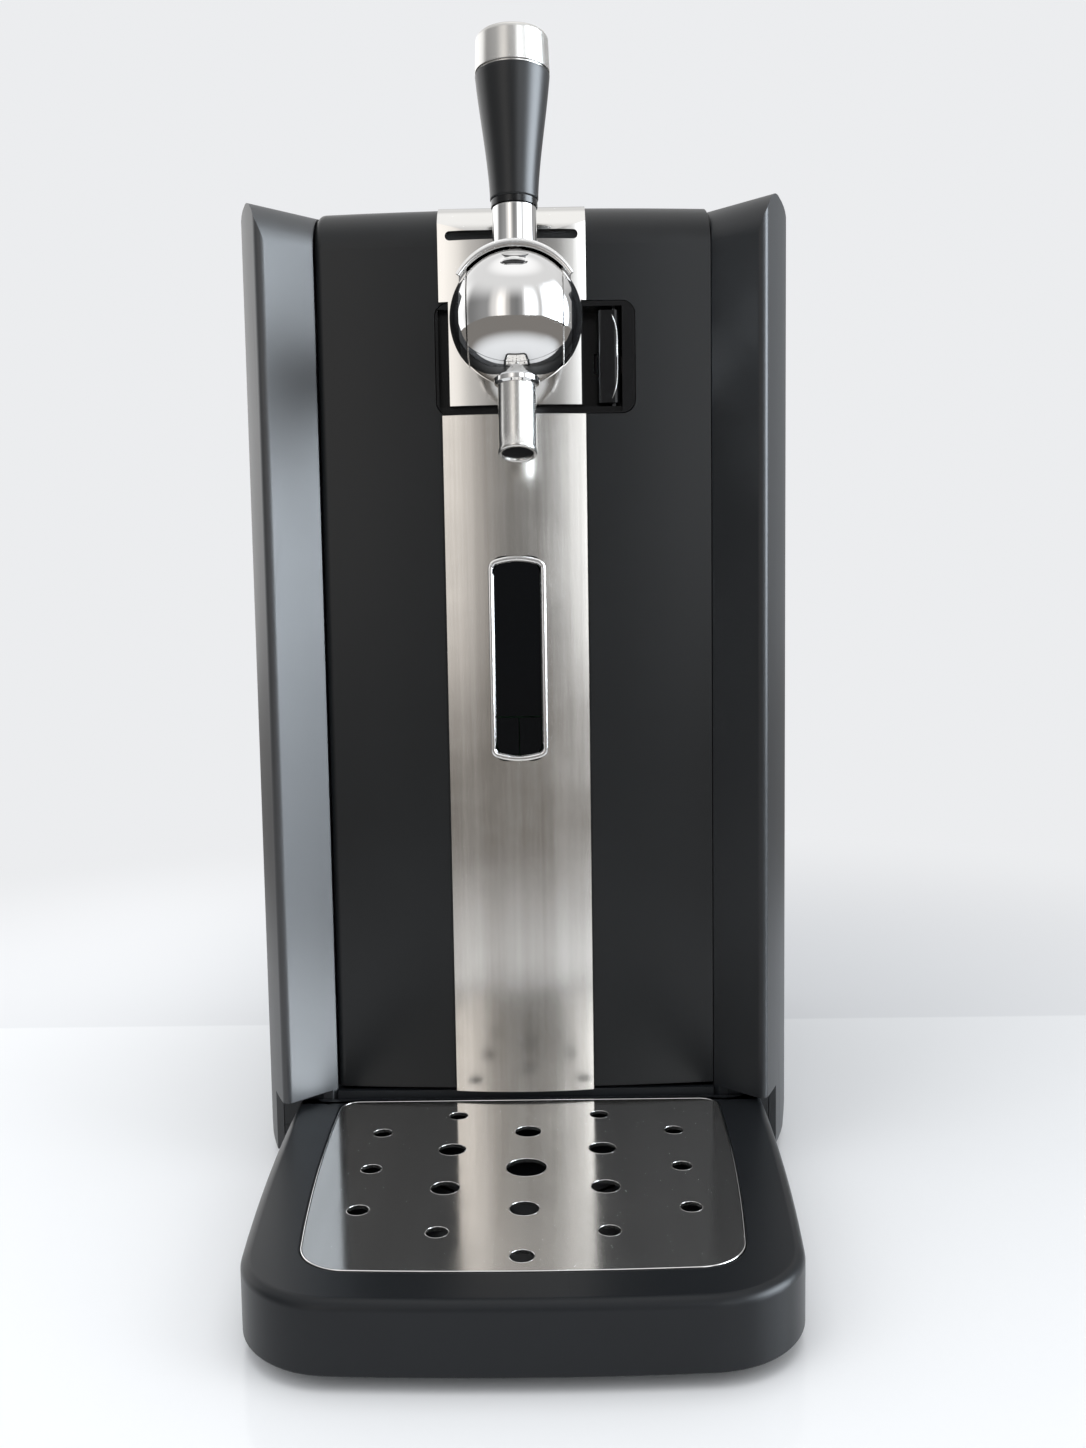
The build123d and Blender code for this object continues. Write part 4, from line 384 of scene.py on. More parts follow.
materials = {
    "casing": mouldedPlastic("charcoalCasing", (0.008, 0.009, 0.0105), (0.012, 0.0135, 0.0155), 0.4, 0.45),
    # painted sheen: a lit copy of the casing for the left side only, shinier and a little bluer, so that side
    # shows the bright reflection that falls on it
    "litLeftSide": mouldedPlastic("litLeftCasing", (0.008, 0.009, 0.011), (0.012, 0.0135, 0.0165), 0.47, 1),
    "door": mouldedPlastic("charcoalDoor", (0.0042, 0.0048, 0.0054), (0.0075, 0.0085, 0.0095), 0.33, 0.36),
    "tray": mouldedPlastic("charcoalTray", (0.008, 0.009, 0.0105), (0.012, 0.0135, 0.0155), 0.33, 0.24),
    "strip": brushedMetal("brushedStrip", (0.5, 0.475, 0.445), (0.72, 0.7, 0.67), 0.175, (1, 1, 0.012)),
    "plate": polishedMetal("mirrorPlate", (0.66, 0.65, 0.63), (0.74, 0.73, 0.71), 0.1),
    "chrome": polishedMetal("mirrorChrome", (0.74, 0.735, 0.73), (0.8, 0.795, 0.79), 0.05),
    "bright": polishedMetal("brightRim", (0.84, 0.835, 0.83), (0.9, 0.895, 0.89), 0.2),
    "satinSteel": brushedMetal("satinSteel", (0.6, 0.59, 0.57), (0.74, 0.73, 0.71), 0.2, (1, 1, 0.05)),
    "grid": brushedMetal(
        "brushedGrid",
        (0.76, 0.75, 0.73),
        (0.9, 0.885, 0.865),
        0.09,
        (1, 0.012, 1),
        wander=0.03,
        bump=0.001,
        metallic=0.965,
    ),
    "gloss": mouldedPlastic(
        "glossBlack",
        (0.004, 0.004, 0.0045),
        (0.006, 0.006, 0.0065),
        0.2,
        0.35,
        wander=0.03,
        grain=300,
        bump=0.03,
    ),
    "grip": mouldedPlastic("gripBlack", (0.006, 0.0065, 0.007), (0.01, 0.0105, 0.0115), 0.36, 0.42),
    "window": mouldedPlastic(
        "windowBlack",
        (0.002, 0.0023, 0.003),
        (0.003, 0.0035, 0.004),
        0.08,
        0.16,
        wander=0.02,
        grain=200,
        bump=0.01,
    ),
    "pale": mouldedPlastic("paleLiner", (0.6, 0.61, 0.62), (0.68, 0.69, 0.7), 0.4),
    "foam": mouldedPlastic("creamFoam", (0.62, 0.58, 0.42), (0.74, 0.7, 0.55), 0.85, 0.3, 0.05, 700, 0.5),
    "rubber": mouldedPlastic("blackRubber", (0.008, 0.008, 0.008), (0.014, 0.014, 0.014), 0.7, 0.3),
    "hose": mouldedPlastic("greyHose", (0.5, 0.53, 0.55), (0.62, 0.65, 0.67), 0.35),
    "board": mouldedPlastic("greenBoard", (0.01, 0.07, 0.025), (0.016, 0.11, 0.04), 0.4),
    "cast": brushedMetal("castAluminium", (0.5, 0.5, 0.51), (0.62, 0.62, 0.63), 0.4, (1, 1, 1), 0.1, 900, 40),
}
materialOf = {
    "casing": "right_side_cover top_cover rear_cover base_pan",
    # the left side cover takes the lit copy of the casing, whose sheen is painted
    "litLeftSide": "left_side_cover",
    "tray": "drip_tray",
    "door": "door_shell",
    "strip": "steel_strip",
    "plate": "tap_plate",
    "chrome": "display_bezel ball_front_cap tap_yoke tap_housing handle_neck handle_cap spout_collar",
    "satinSteel": "spout case_screws hinge_leaves hinge_pins strike_plate door_screws latch_bolt"
    " pinch_plunger tap_nut pump_motor",
    "grid": "drip_grid",
    "gloss": "latch_pocket latch_lever lever_pin pivot_caps grip_ring",
    "grip": "handle_grip mains_inlet switch_frame power_rocker fan_frame fan_rotor bolt_guide",
    "window": "display_window left_key right_key",
    "pale": "machine_deck chamber_liner door_liner peltier_module pump_head pump_crank keg_coupling",
    "foam": "chamber_foam door_foam",
    "rubber": "rubber_feet door_gasket line_grommet",
    "hose": "air_hose",
    "board": "control_board display_board",
    "cast": "cold_plate heat_sink power_supply",
}
for finishName, nodeNames in materialOf.items():
    for nodeName in nodeNames.split():
        mesh = nodes[nodeName].data
        mesh.materials.clear()
        mesh.materials.append(materials[finishName])
print("materials ready")

# Meshes. Points are millimetres across, behind the strip's face and above the table
meshValues = {
    "weld": 2e-6,           # both in metres
    "flat": 1e-6,
    "straight": 1.56,       # half of a corner's angle above which it counts as straight
    "flatKeep": 0.12,
}


def inFrame(points):
    return points * mm + np.array([0, stripFace, 0])


def joined(x, y, z):
    return np.stack(np.broadcast_arrays(x, y, z), axis=-1)


# Evenly spaced angles around a circle
def circleAngles(count):
    return np.linspace(0, fullTurn, count, endpoint=False)


# points[i, j] is one corner of the surface; a direction that runs around joins its end to its start
def makePiece(name, points, aroundU, aroundV, material, body):
    count = points.shape[0] * points.shape[1]
    index = np.arange(count).reshape(points.shape[:2])
    index = np.concatenate([index, index[:1]], axis=0) if aroundU else index
    index = np.concatenate([index, index[:, :1]], axis=1) if aroundV else index
    corners = [index[:-1, :-1], index[1:, :-1], index[1:, 1:], index[:-1, 1:]]
    return finishPiece(name, points, corners, material, body)


def finishPiece(name, points, corners, material, body):
    faces = np.stack(corners, axis=-1).reshape(-1, 4)
    mesh = bpy.data.meshes.new(name)
    mesh.from_pydata(inFrame(points).reshape(-1, 3).tolist(), [], faces.tolist())
    work = bmesh.new()
    work.from_mesh(mesh)
    bmesh.ops.remove_doubles(work, verts=work.verts, dist=meshValues["weld"])
    bmesh.ops.dissolve_degenerate(work, dist=meshValues["flat"], edges=work.edges)
    bmesh.ops.recalc_face_normals(work, faces=work.faces)
    work.to_mesh(mesh)
    work.free()
    mesh.shade_smooth()
    mesh.materials.append(materials[material])
    piece = bpy.data.objects.new(name, mesh)
    scene.collection.objects.link(piece)
    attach(piece, body)
    return piece


# A polyline whose inner corners become arcs: each arc's middle is r / sin(half) along the bisector
def roundLine(corners, radii, steps):
    corners = np.asarray(corners, float)
    keep = meshValues["flatKeep"]
    rows = [corners[:1]]
    for before, corner, after, radius in zip(corners, corners[1:], corners[2:], radii):
        a = (before - corner) / np.linalg.norm(before - corner)
        b = (after - corner) / np.linalg.norm(after - corner)
        half = math.acos(np.clip(a @ b, -1, 1)) / 2
        if half > meshValues["straight"]:
            rows.append(corner[None])
            continue
        middle = corner + (a + b) / np.linalg.norm(a + b) * radius / math.sin(half)
        start = corner + a * radius / math.tan(half) - middle
        turn = math.pi - 2 * half
        side = np.sign(start[0] * (b - a)[1] - start[1] * (b - a)[0])
        angles = np.linspace(0, turn, steps + 1)[:, None] * side
        turned = np.array([-start[1], start[0]])
        arc = middle + start * np.cos(angles) + turned * np.sin(angles)
        # a point just before and after each arc keeps the flats flat
        rows += [arc[:1] + a * keep, arc, arc[-1:] + b * keep]
    rows.append(corners[-1:])
    return np.concatenate(rows)


# Unit normals of a closed outline that runs clockwise
def outward(outline):
    along = np.roll(outline, -1, axis=0) - np.roll(outline, 1, axis=0)
    along /= np.linalg.norm(along, axis=1)[:, None]
    return np.stack([-along[:, 1], along[:, 0]], axis=-1)


# Outline points moved out along their normals by each row's first value, and the rows' second value
def carried(outline, section):
    plan = outline[:, None, :] + outward(outline)[:, None, :] * section[None, :, :1]
    return plan[..., 0], plan[..., 1], np.broadcast_to(section[None, :, 1], plan.shape[:2])


# Outlines of the tray and the grid
outlineSteps = {"back": 40, "rearCorner": 8, "side": 40, "frontCorner": 24, "nose": 30}


# The middle and radius of the circle through three points
def circleThrough(a, b, c):
    rows = np.array([b - a, c - b]) * 2
    middle = np.linalg.solve(rows, np.array([b @ b - a @ a, c @ c - b @ b]))
    return middle, np.linalg.norm(a - middle)


# Points from start to end around a middle, the short way; the radius runs evenly between the two
def arcBetween(middle, start, end, count):
    first = math.atan2(*(start - middle)[::-1])
    sweep = (math.atan2(*(end - middle)[::-1]) - first + math.pi) % fullTurn - math.pi
    share = np.linspace(0, 1, count, endpoint=False)
    radius = np.linalg.norm(start - middle) * (1 - share) + np.linalg.norm(end - middle) * share
    angle = first + sweep * share
    return middle + radius[:, None] * np.stack([np.cos(angle), np.sin(angle)], axis=-1)


# Plan of the tray or the grid: a straight back, bowed sides and front, and rounded corners.
# A corner's middle lies its radius inside both neighbours, where two circles cross.
def slabOutline(values):
    rear, half = values["rearHalf"], values["frontHalf"]
    back, front, bow = values["back"], values["front"], values["frontBow"]
    edge = np.array([(rear + half) / 2 + values["sideBow"], (back + front) / 2])
    nose = np.array([0.0, front])
    rearPoint, frontPoint, mirrored = np.array([[rear, back], [half, front + bow], [-half, front + bow]])
    sideMiddle, sideRadius = circleThrough(rearPoint, edge, frontPoint)
    noseMiddle, noseRadius = circleThrough(frontPoint, nose, mirrored)
    small, large = values["rearRound"], values["frontRound"]
    # rear corner: between the straight back and the side
    reach = sideRadius - small
    high = back - small
    rearMiddle = np.array([sideMiddle[0] + math.sqrt(reach**2 - (high - sideMiddle[1]) ** 2), high])
    rearIn = np.array([rearMiddle[0], back])
    rearOut = sideMiddle + (rearMiddle - sideMiddle) * sideRadius / reach
    # front corner: between the side and the front
    gap = noseMiddle - sideMiddle
    apart = np.linalg.norm(gap)
    sideReach, noseReach = sideRadius - large, noseRadius - large
    along = (apart**2 + sideReach**2 - noseReach**2) / (2 * apart)
    aside = math.sqrt(sideReach**2 - along**2)
    unit = gap / apart
    normal = np.array([-unit[1], unit[0]])
    crossings = [sideMiddle + unit * along + normal * aside * sign for sign in (-1, 1)]
    cornerMiddle = min(crossings, key=lambda point: np.linalg.norm(point - frontPoint))
    cornerIn = sideMiddle + (cornerMiddle - sideMiddle) * sideRadius / sideReach
    cornerOut = noseMiddle + (cornerMiddle - noseMiddle) * noseRadius / noseReach
    halfPlan = np.concatenate(
        [
            np.linspace([0, back], rearIn, outlineSteps["back"], endpoint=False),
            arcBetween(rearMiddle, rearIn, rearOut, outlineSteps["rearCorner"]),
            arcBetween(sideMiddle, rearOut, cornerIn, outlineSteps["side"]),
            arcBetween(cornerMiddle, cornerIn, cornerOut, outlineSteps["frontCorner"]),
            arcBetween(noseMiddle, cornerOut, nose, outlineSteps["nose"]),
            [nose],
        ]
    )
    return np.concatenate([halfPlan, halfPlan[-2:0:-1] * [-1, 1]])


trayValues = {
    "outline": {
        "rearHalf": 107,
        "frontHalf": 96.5,
        "back": 4,
        "front": -175,
        "sideBow": 2.5,
        "frontBow": 4,
        "rearRound": 2,
        "frontRound": 38,
    },
    "across": 2,
    "top": 32,
    "low": 5.8,
    "wall": 3,
    "edge": 3.6,
    "lap": 8,               # the rim reaches this far in from the outer edge
    "wallRounds": (0.6, 0.9),
    "wallSteps": 8,
    "hem": 0.6,
    "hemDrop": 0.3,
    "basinUnder": 8.3,
    "basinFloor": 11.5,
    "basinIn": 12,
    "gap": 0.35,            # around the grid
    "gapLip": 1.4,
    "seat": 30.2,
    "ledge": 5,
    "basinRounds": (0.5, 0.1, 0.5, 3),
    "basinSteps": 5,
    "notchHalf": 30.5,      # the base's tongue passes under the rear wall here
    "notchTop": 8.1,
    "notchPast": 1,
}
gridValues = {
    "outline": {
        "rearHalf": 86,
        "frontHalf": 77.5,
        "back": -2,
        "front": -155,
        "sideBow": 2.5,
        "frontBow": 2.5,
        "rearRound": 8,
        "frontRound": 19,
    },
    "bead": 0.36,
    "beadSink": 0.12,
    "beadSteps": 10,
    "holeFirst": 19.9,
    "holePitch": 17.8,
    "holeColumn": 31.5,
    "holeRows": [           # columns from the middle, and their radii, from the back to the front
        ((-1, 4.25), (1, 4.25)),
        ((-2, 4.25), (0, 5.75), (2, 4.25)),
        ((-1, 5.75), (1, 5.75)),
        ((-2, 4.25), (0, 8.35), (2, 4.25)),
        ((-1, 5.75), (1, 5.75)),
        ((-2, 4.25), (0, 5.75), (2, 4.25)),
        ((-1, 4.25), (1, 4.25)),
        ((0, 4.5),),
    ],
    "rim": 0.17,
    "rimPlay": 0.05,
    "rimSink": 0.1,
    "rimSteps": 48,
}


# Tray: rings inset * normal from two outlines, at the heights of a section that runs from the
# underside's middle, down and up the rounded outer wall, over the rim, and down into the basin
def makeTray(values, gridOutline):
    outer = slabOutline(values["outline"])
    inner = slabOutline(gridOutline)
    top, low, wall, hem = values["top"], values["low"], values["wall"], values["hem"]
    gap, ledge = values["gap"], values["ledge"]
    inside = top - values["edge"]
    bottom, floor = values["basinUnder"], values["basinFloor"]
    under = np.array([[-hem, bottom], [0, bottom + hem], [0, inside - values["hemDrop"]]])
    shell = roundLine(
        [(-wall, inside), (-wall, low), (0, low), (0, top), (-values["lap"], top)],
        [*values["wallRounds"], values["edge"]],
        values["wallSteps"],
    )
    basin = roundLine(
        [
            (values["gapLip"], top),
            (gap, top),
            (gap, values["seat"]),
            (-ledge, values["seat"]),
            (-ledge, floor),
            (-values["basinIn"], floor),
        ],
        values["basinRounds"],
        values["basinSteps"],
    )
    middle = (gridOutline["back"] + gridOutline["front"]) / 2
    start = np.broadcast_to([0, middle, bottom], (len(outer), 1, 3))
    end = np.broadcast_to([0, middle, floor], (len(outer), 1, 3))
    rings = [joined(*carried(line, part)) for line, part in ((inner, under), (outer, shell), (inner, basin))]
    x, y, z = np.moveaxis(np.concatenate([start, *rings, end], axis=1), -1, 0)
    x = x + values["across"]
    inNotch = (np.abs(x) < values["notchHalf"]) & (y > values["outline"]["back"] - wall - values["notchPast"])
    z = np.where(inNotch & (z < values["notchTop"]), values["notchTop"], z)
    piece = makePiece("tray_shell", joined(x, y, z), True, False, "tray", "tray")
    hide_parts("drip_tray")


# A bead along the grid's edge, and a rolled rim around each hole: small circles carried along paths
def makeGridTrim(values, across, top):
    angle = circleAngles(values["beadSteps"])
    bead, rim = values["bead"], values["rim"]
    beadOut = bead * np.cos(angle) - bead
    beadHigh = top - values["beadSink"] + bead * np.sin(angle)
    x, y, z = carried(slabOutline(values["outline"]), np.stack([beadOut, beadHigh], axis=-1))
    makePiece("grid_bead", joined(x + across, y, z), True, True, "chrome", "grid")
    holes = [
        (column * values["holeColumn"] + across, -values["holeFirst"] - row * values["holePitch"], radius)
        for row, columns in enumerate(values["holeRows"])
        for column, radius in columns
    ]
    holeX, holeY, holeRadius = np.array(holes).T[:, :, None, None]
    around = circleAngles(values["rimSteps"])[None, :, None]
    reach = holeRadius + values["rimPlay"] + rim * np.cos(angle)
    rimHigh = top - values["rimSink"] + rim * np.sin(angle)
    points = joined(holeX + reach * np.cos(around), holeY + reach * np.sin(around), rimHigh)
    # every hole is a ring of its own
    index = np.arange(points[..., 0].size).reshape(points.shape[:3])
    corners = [index, np.roll(index, -1, 1), np.roll(index, (-1, -1), (1, 2)), np.roll(index, -1, 2)]
    finishPiece("grid_rims", points, corners, "chrome", "grid")


makeTray(trayValues, gridValues["outline"])
makeGridTrim(gridValues, trayValues["across"], trayValues["top"])
print("tray and grid ready")

# Tap: every turned piece shares the ball's middle
tapValues = {
    "middle": (2.5, -35, 376),
    "radius": 27.3,
    "lean": 2,              # degrees, backwards
    "archLift": 2.5,        # the yoke's arch is the ball's outline, lifted by this
    "steps": 72,
}


# Directions ahead and up, both tipped back by some degrees
def tipped(degrees):
    angle = math.radians(degrees)
    ahead = np.array([0, -math.cos(angle), math.sin(angle)])
    return ahead, np.array([0, math.sin(angle), math.cos(angle)])


tapMiddle = np.array(tapValues["middle"], float)
ballRadius = tapValues["radius"]
acrossAxis = np.array([1.0, 0, 0])
leverAhead, leverUp = tipped(tapValues["lean"])


# Around an axis through the ball's middle: r (across cos t + side sin t) + h axis
def aroundAxis(radius, angle, high, axis):
    side = np.cross(axis, acrossAxis)
    spread = acrossAxis * np.cos(angle)[..., None] + side * np.sin(angle)[..., None]
    return tapMiddle + radius[..., None] * spread + high[..., None] * axis


# A lathe surface: each (r, h) of the profile goes around the axis
def turnedPoints(profile, axis, count=tapValues["steps"]):
    return aroundAxis(profile[:, 0], circleAngles(count)[:, None], profile[:, 1], axis)


neckValues = {
    "radius": 9,
    "top": 44.7,
    "flare": 0.3,
    "sink": 0.3,
    "lip": 0.6,
    "wall": 0.6,
    "underside": 0.4,
    "steps": 24,
    "lipSteps": 5,
}


# Neck: its foot follows the arch under it, h = lift + sqrt(R^2 - x^2), and flares a little
def makeNeck(values):
    neck, top, lip = values["radius"], values["top"], values["lip"]
    count = tapValues["steps"]
    angle = circleAngles(count)[:, None]
    share = np.linspace(0, 1, values["steps"])[None, :]
    wall = neck + values["flare"] * (1 - share) ** 2
    arch = np.sqrt(ballRadius**2 - (wall[:, :1] * np.cos(angle)) ** 2)
    foot = tapValues["archLift"] + arch - values["sink"]
    rise = foot + (top - lip - foot) * share
    crest = roundLine([(neck, 0), (neck, top), (0, top)], [lip], values["lipSteps"])[1:]
    lowest = np.full((count, 1), foot.min() - values["underside"])
    inner = wall[:, :1] - values["wall"]
    # 0 * lowest repeats a column's value at every angle
    columns = [0 * lowest, inner + 0 * lowest, wall + 0 * lowest, crest[:, 0] + 0 * lowest]
    radius = np.concatenate(columns, axis=1)
    high = np.concatenate([lowest, lowest, rise, crest[:, 1] + 0 * lowest], axis=1)
    points = aroundAxis(radius, angle, high, leverUp)
    piece = makePiece("neck_tube", points, True, False, "chrome", "tap_lever")
    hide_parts("handle_neck")


gripValues = {
    "ring": 2.5,            # the ring between the neck and the grip
    "top": 97.3,
    "radius": 15.2,
    "ledge": 0.9,
    "footHigh": 1.4,
    "footSteps": 5,
    "lidHigh": 0.5,
    "lidSteps": 4,
    "swell": (1.25, 1.45, 4),       # k, a and b below
    "steps": 40,
}


# Grip: its radius goes from foot to wide by k s^a - (k - 1) s^b, where s runs from 0 to 1 over its
# height, so it starts slowly and ends upright
def makeGrip(values, neck):
    low, high = neck["top"] + values["ring"], values["top"]
    foot, wide = neck["radius"] + values["ledge"], values["radius"]
    bodyLow, bodyHigh = low + values["footHigh"], high - values["lidHigh"]
    share = np.linspace(0, 1, values["steps"])
    gain, slow, late = values["swell"]
    swell = gain * share**slow - (gain - 1) * share**late
    body = np.stack([foot + (wide - foot) * swell, bodyLow + (bodyHigh - bodyLow) * share], axis=-1)
    base = roundLine([(0, low), (foot, low), (foot, high)], [values["ledge"]], values["footSteps"])[:-2]
    lid = roundLine([(wide, low), (wide, high), (0, high)], [values["lidHigh"]], values["lidSteps"])[1:]
    points = turnedPoints(np.concatenate([base, body, lid]), leverUp)
    piece = makePiece("grip_body", points, True, False, "grip", "tap_lever")
    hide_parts("handle_grip")


endCapValues = {
    "top": 112.8,
    "groove": 0.7,
    "taper": 0.5,
    "shoulderIn": 3.4,
    "shoulderDrop": 0.4,
    "rounds": (0.1, 0.1, 0.25, 2.2, 6),
    "roundSteps": 6,
    "steps": 96,
}


# End cap: a shadow groove above the grip, a slightly tapered wall and a soft top edge, all turned
def makeEndCap(values, grip):
    wide, low, top = grip["radius"], grip["top"], values["top"]
    groove = values["groove"]
    corners = [
        (0, low),
        (wide - groove, low),
        (wide - groove, low + groove),
        (wide, low + groove),
        (wide - values["taper"], top - values["shoulderDrop"]),
        (wide - values["shoulderIn"], top),
        (0, top),
    ]
    profile = roundLine(corners, values["rounds"], values["roundSteps"])
    points = turnedPoints(profile, leverUp, values["steps"])
    piece = makePiece("cap_shell", points, True, False, "satinSteel", "tap_lever")
    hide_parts("handle_cap")


archValues = {
    "front": 9.3,
    "turn": 56,             # degrees each way
    "play": 1,
    "swell": 0.1,
    "round": 0.8,
    "steps": 97,
    "aroundSteps": 16,
}


# Rounded front of the yoke's arch: a tube between its inside, sqrt(R^2 - front^2) + play, and its
# outside, R + lift cos t; its middle and its thickness follow from the two
def makeArch(values):
    turn = np.radians(np.linspace(-values["turn"], values["turn"], values["steps"]))[:, None]
    angle = circleAngles(values["aroundSteps"])[None, :]
    inside = math.sqrt(ballRadius**2 - values["front"] ** 2) + values["play"]
    outside = ballRadius + tapValues["archLift"] * np.cos(turn)
    reach = (inside + outside) / 2 + ((outside - inside) / 2 + values["swell"]) * np.cos(angle)
    front = values["front"] - values["round"] * np.sin(angle)
    outwards = np.sin(turn)[..., None] * acrossAxis + np.cos(turn)[..., None] * leverUp
    points = tapMiddle + reach[..., None] * outwards + front[..., None] * leverAhead
    makePiece("arch_front", points, False, True, "bright", "tap_lever")


spoutValues = {
    "tilt": 8,              # degrees, as the slant is
    "radius": 7.85,
    "bore": 6.4,
    "start": 22,
    "firstRing": 1,
    "mouth": 56,            # where the slanted mouth crosses the spout's axis
    "slant": 11,
    "wallRings": (6, 2),    # distances back from the mouth
    "lipOut": 0.25,
    "lipStart": 1.1,
    "lipMiddle": 0.5,
    "lipSteps": 9,
    "boreRings": (1.5, 3, 20),
}
# a black tube lining the bore, painted shade for the spout's dark inside
boreShadeValues = {
    "wall": 0.48,
    "play": 0.02,
    "inner": 16,            # distances back from the mouth
    "outer": 17,
    "edge": 1.6,
    "tip": 1.2,
    "tipIn": 0.25,
}
collarValues = {
    "sink": 2.3,
    "wide": 1.5,
    "wall": 2,
    "high": 2.9,
    "crest": 0.4,
    "rounds": (0.2, 0.5, 0.3),
    "roundSteps": 5,
}


# Spout: a tube whose slanted mouth lies at s = mouth - r sin(t) tan(slant), with a rolled lip
def makeSpout(values, boreShade, collar):
    down = -tipped(values["tilt"])[1]
    slope = math.tan(math.radians(values["slant"]))
    outside, bore = values["radius"], values["bore"]
    angle = circleAngles(tapValues["steps"])[:, None]

    # each row is a radius and how far along, from the start or back from the mouth
    def tube(startRows, mouthRows):
        radius, along = np.array([*startRows, *mouthRows], float).T
        mouth = values["mouth"] - radius * np.sin(angle) * slope
        fromMouth = np.arange(len(radius)) >= len(startRows)
        return aroundAxis(radius, angle, np.where(fromMouth, mouth - along, along), down)

    start, out = values["start"], outside + values["lipOut"]
    half = (out - bore) / 2
    startRows = [(0, start), (outside, start), (outside, start + values["firstRing"])]
    roll = [
        (bore + half + half * math.cos(t), values["lipMiddle"] - half * math.sin(t))
        for t in np.linspace(0, math.pi, values["lipSteps"])
    ]
    mouthRows = [(outside, along) for along in values["wallRings"]] + [(out, values["lipStart"]), *roll]
    mouthRows += [(bore, along) for along in values["boreRings"]] + [(0, values["boreRings"][-1])]
    points = tube(startRows, mouthRows)
    piece = makePiece("spout_tube", points, True, False, "satinSteel", "door")
    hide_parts("spout")
    # painted shade: a black tube inside the bore, where the spout's inside lies in shadow
    outer = bore - boreShade["play"]
    inner = outer - boreShade["wall"]
    rows = [(0, boreShade["inner"]), (inner, boreShade["inner"]), (inner, boreShade["edge"])]
    rows += [(bore - boreShade["tipIn"], boreShade["tip"]), (outer, boreShade["edge"])]
    rows += [(outer, boreShade["outer"]), (0, boreShade["outer"])]
    makePiece("spout_bore_shade", tube([], rows), True, False, "rubber", "door")
    # rolled collar where the spout leaves the ball
    base = ballRadius - collar["sink"]
    corners = [
        (outside, base),
        (outside + collar["wide"], base),
        (outside + collar["wide"], base + collar["wall"]),
        (outside + collar["crest"], base + collar["high"]),
        (outside, base + collar["high"]),
    ]
    profile = roundLine(corners, collar["rounds"], collar["roundSteps"])
    piece = makePiece("spout_ring", turnedPoints(profile, down), True, True, "chrome", "door")
    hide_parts("spout_collar")


ballCapValues = {
    "half": 19,
    "rise": 29.5,           # degrees above straight ahead
    "offset": 5.6,
    "thick": 2,
    "edge": 0.55,
    "edgeSteps": 3,
    "edgeAngle": 60,
    "steps": (73, 97),
}
notchValues = {
    "rise": 42,             # degrees above straight ahead
    "half": 5,
    "high": 1.5,
    "dent": 0.9,
    "dentSoft": 0.35,
    "fill": 0.93,           # the dark shade lens's share of the notch's width
    "upper": 0.6,           # its share of the height above the middle, and below
    "lower": 1.1,
    "face": 0.12,           # how far it lies under the sphere
    "back": 1,
    "faceSteps": 7,
    "backSteps": 5,
    "steps": 48,
}


def smoothStep(value, low, high):
    share = np.clip((value - low) / (high - low), 0, 1)
    return share * share * (3 - 2 * share)


# Front cap: a part of the sphere between two upright cuts and ahead of a leaning one. In the slice at x,
# of radius p = sqrt(R^2 - x^2), the angle runs to acos(offset / p) each way. A notch dents it.
def makeBallCap(values, notch):
    facing, upward = tipped(values["rise"])
    sides, arcs = values["steps"]
    x = values["half"] * np.sin(np.linspace(-math.pi / 2, math.pi / 2, sides))[:, None]
    sliceRadius = np.sqrt(ballRadius**2 - x**2)
    angle = np.linspace(-1, 1, arcs)[None, :] * np.arccos(values["offset"] / sliceRadius)
    # the notch: an ellipse around its own rise, on the upper half of the arc
    level = ballRadius * np.sin(angle + math.radians(values["rise"]))
    centre = ballRadius * math.sin(math.radians(notch["rise"]))
    inside = 1 - (x / notch["half"]) ** 2 - ((level - centre) / notch["high"]) ** 2
    reach = sliceRadius - notch["dent"] * smoothStep(inside, 0, notch["dentSoft"]) * (angle > 0)
    out, up = reach * np.cos(angle), reach * np.sin(angle)
    points = tapMiddle + x[..., None] * acrossAxis + out[..., None] * facing + up[..., None] * upward
    piece = makePiece("ball_cap", points, False, False, "chrome", "door")
    # the wall grows inwards, so the faces have to point outwards
    mesh = piece.data
    face = mesh.polygons[len(mesh.polygons) // 2]
    if (np.array(face.center) - inFrame(tapMiddle)) @ np.array(face.normal) < 0:
        mesh.flip_normals()
    wall = piece.modifiers.new("wall", "SOLIDIFY")
    wall.thickness = values["thick"] * mm
    wall.offset = -1
    edge = piece.modifiers.new("edge", "BEVEL")
    edge.width = values["edge"] * mm
    edge.segments = values["edgeSteps"]
    edge.limit_method = "ANGLE"
    edge.angle_limit = math.radians(values["edgeAngle"])
    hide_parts("ball_front_cap")


# Painted shade in the cap's notch: a dark lens over an ellipse, whose face lies just under the ball's sphere,
# standing in for the shadow in the slot
def makeNotchShade(values):
    facing, upward = tipped(values["rise"])
    face, back = values["faceSteps"], values["backSteps"]
    angle = circleAngles(values["steps"])[:, None]
    share = np.concatenate([np.linspace(0, 1, face), np.linspace(1, 0, back)])[None, :]
    x = values["half"] * values["fill"] * share * np.cos(angle)
    flatter = np.where(np.sin(angle) > 0, values["upper"], values["lower"])
    level = values["high"] * share * np.sin(angle) * flatter
    depth = np.concatenate([np.full(face, values["face"]), np.full(back, values["back"])])[None, :]
    out = np.sqrt(ballRadius**2 - x**2 - level**2) - depth
    points = tapMiddle + x[..., None] * acrossAxis + out[..., None] * facing + level[..., None] * upward
    makePiece("cap_notch_shade", points, True, False, "gloss", "door")


makeNeck(neckValues)
makeGrip(gripValues, neckValues)
makeEndCap(endCapValues, gripValues)
makeArch(archValues)
makeSpout(spoutValues, boreShadeValues, collarValues)
makeBallCap(ballCapValues, notchValues)
makeNotchShade(notchValues)
print("tap ready")

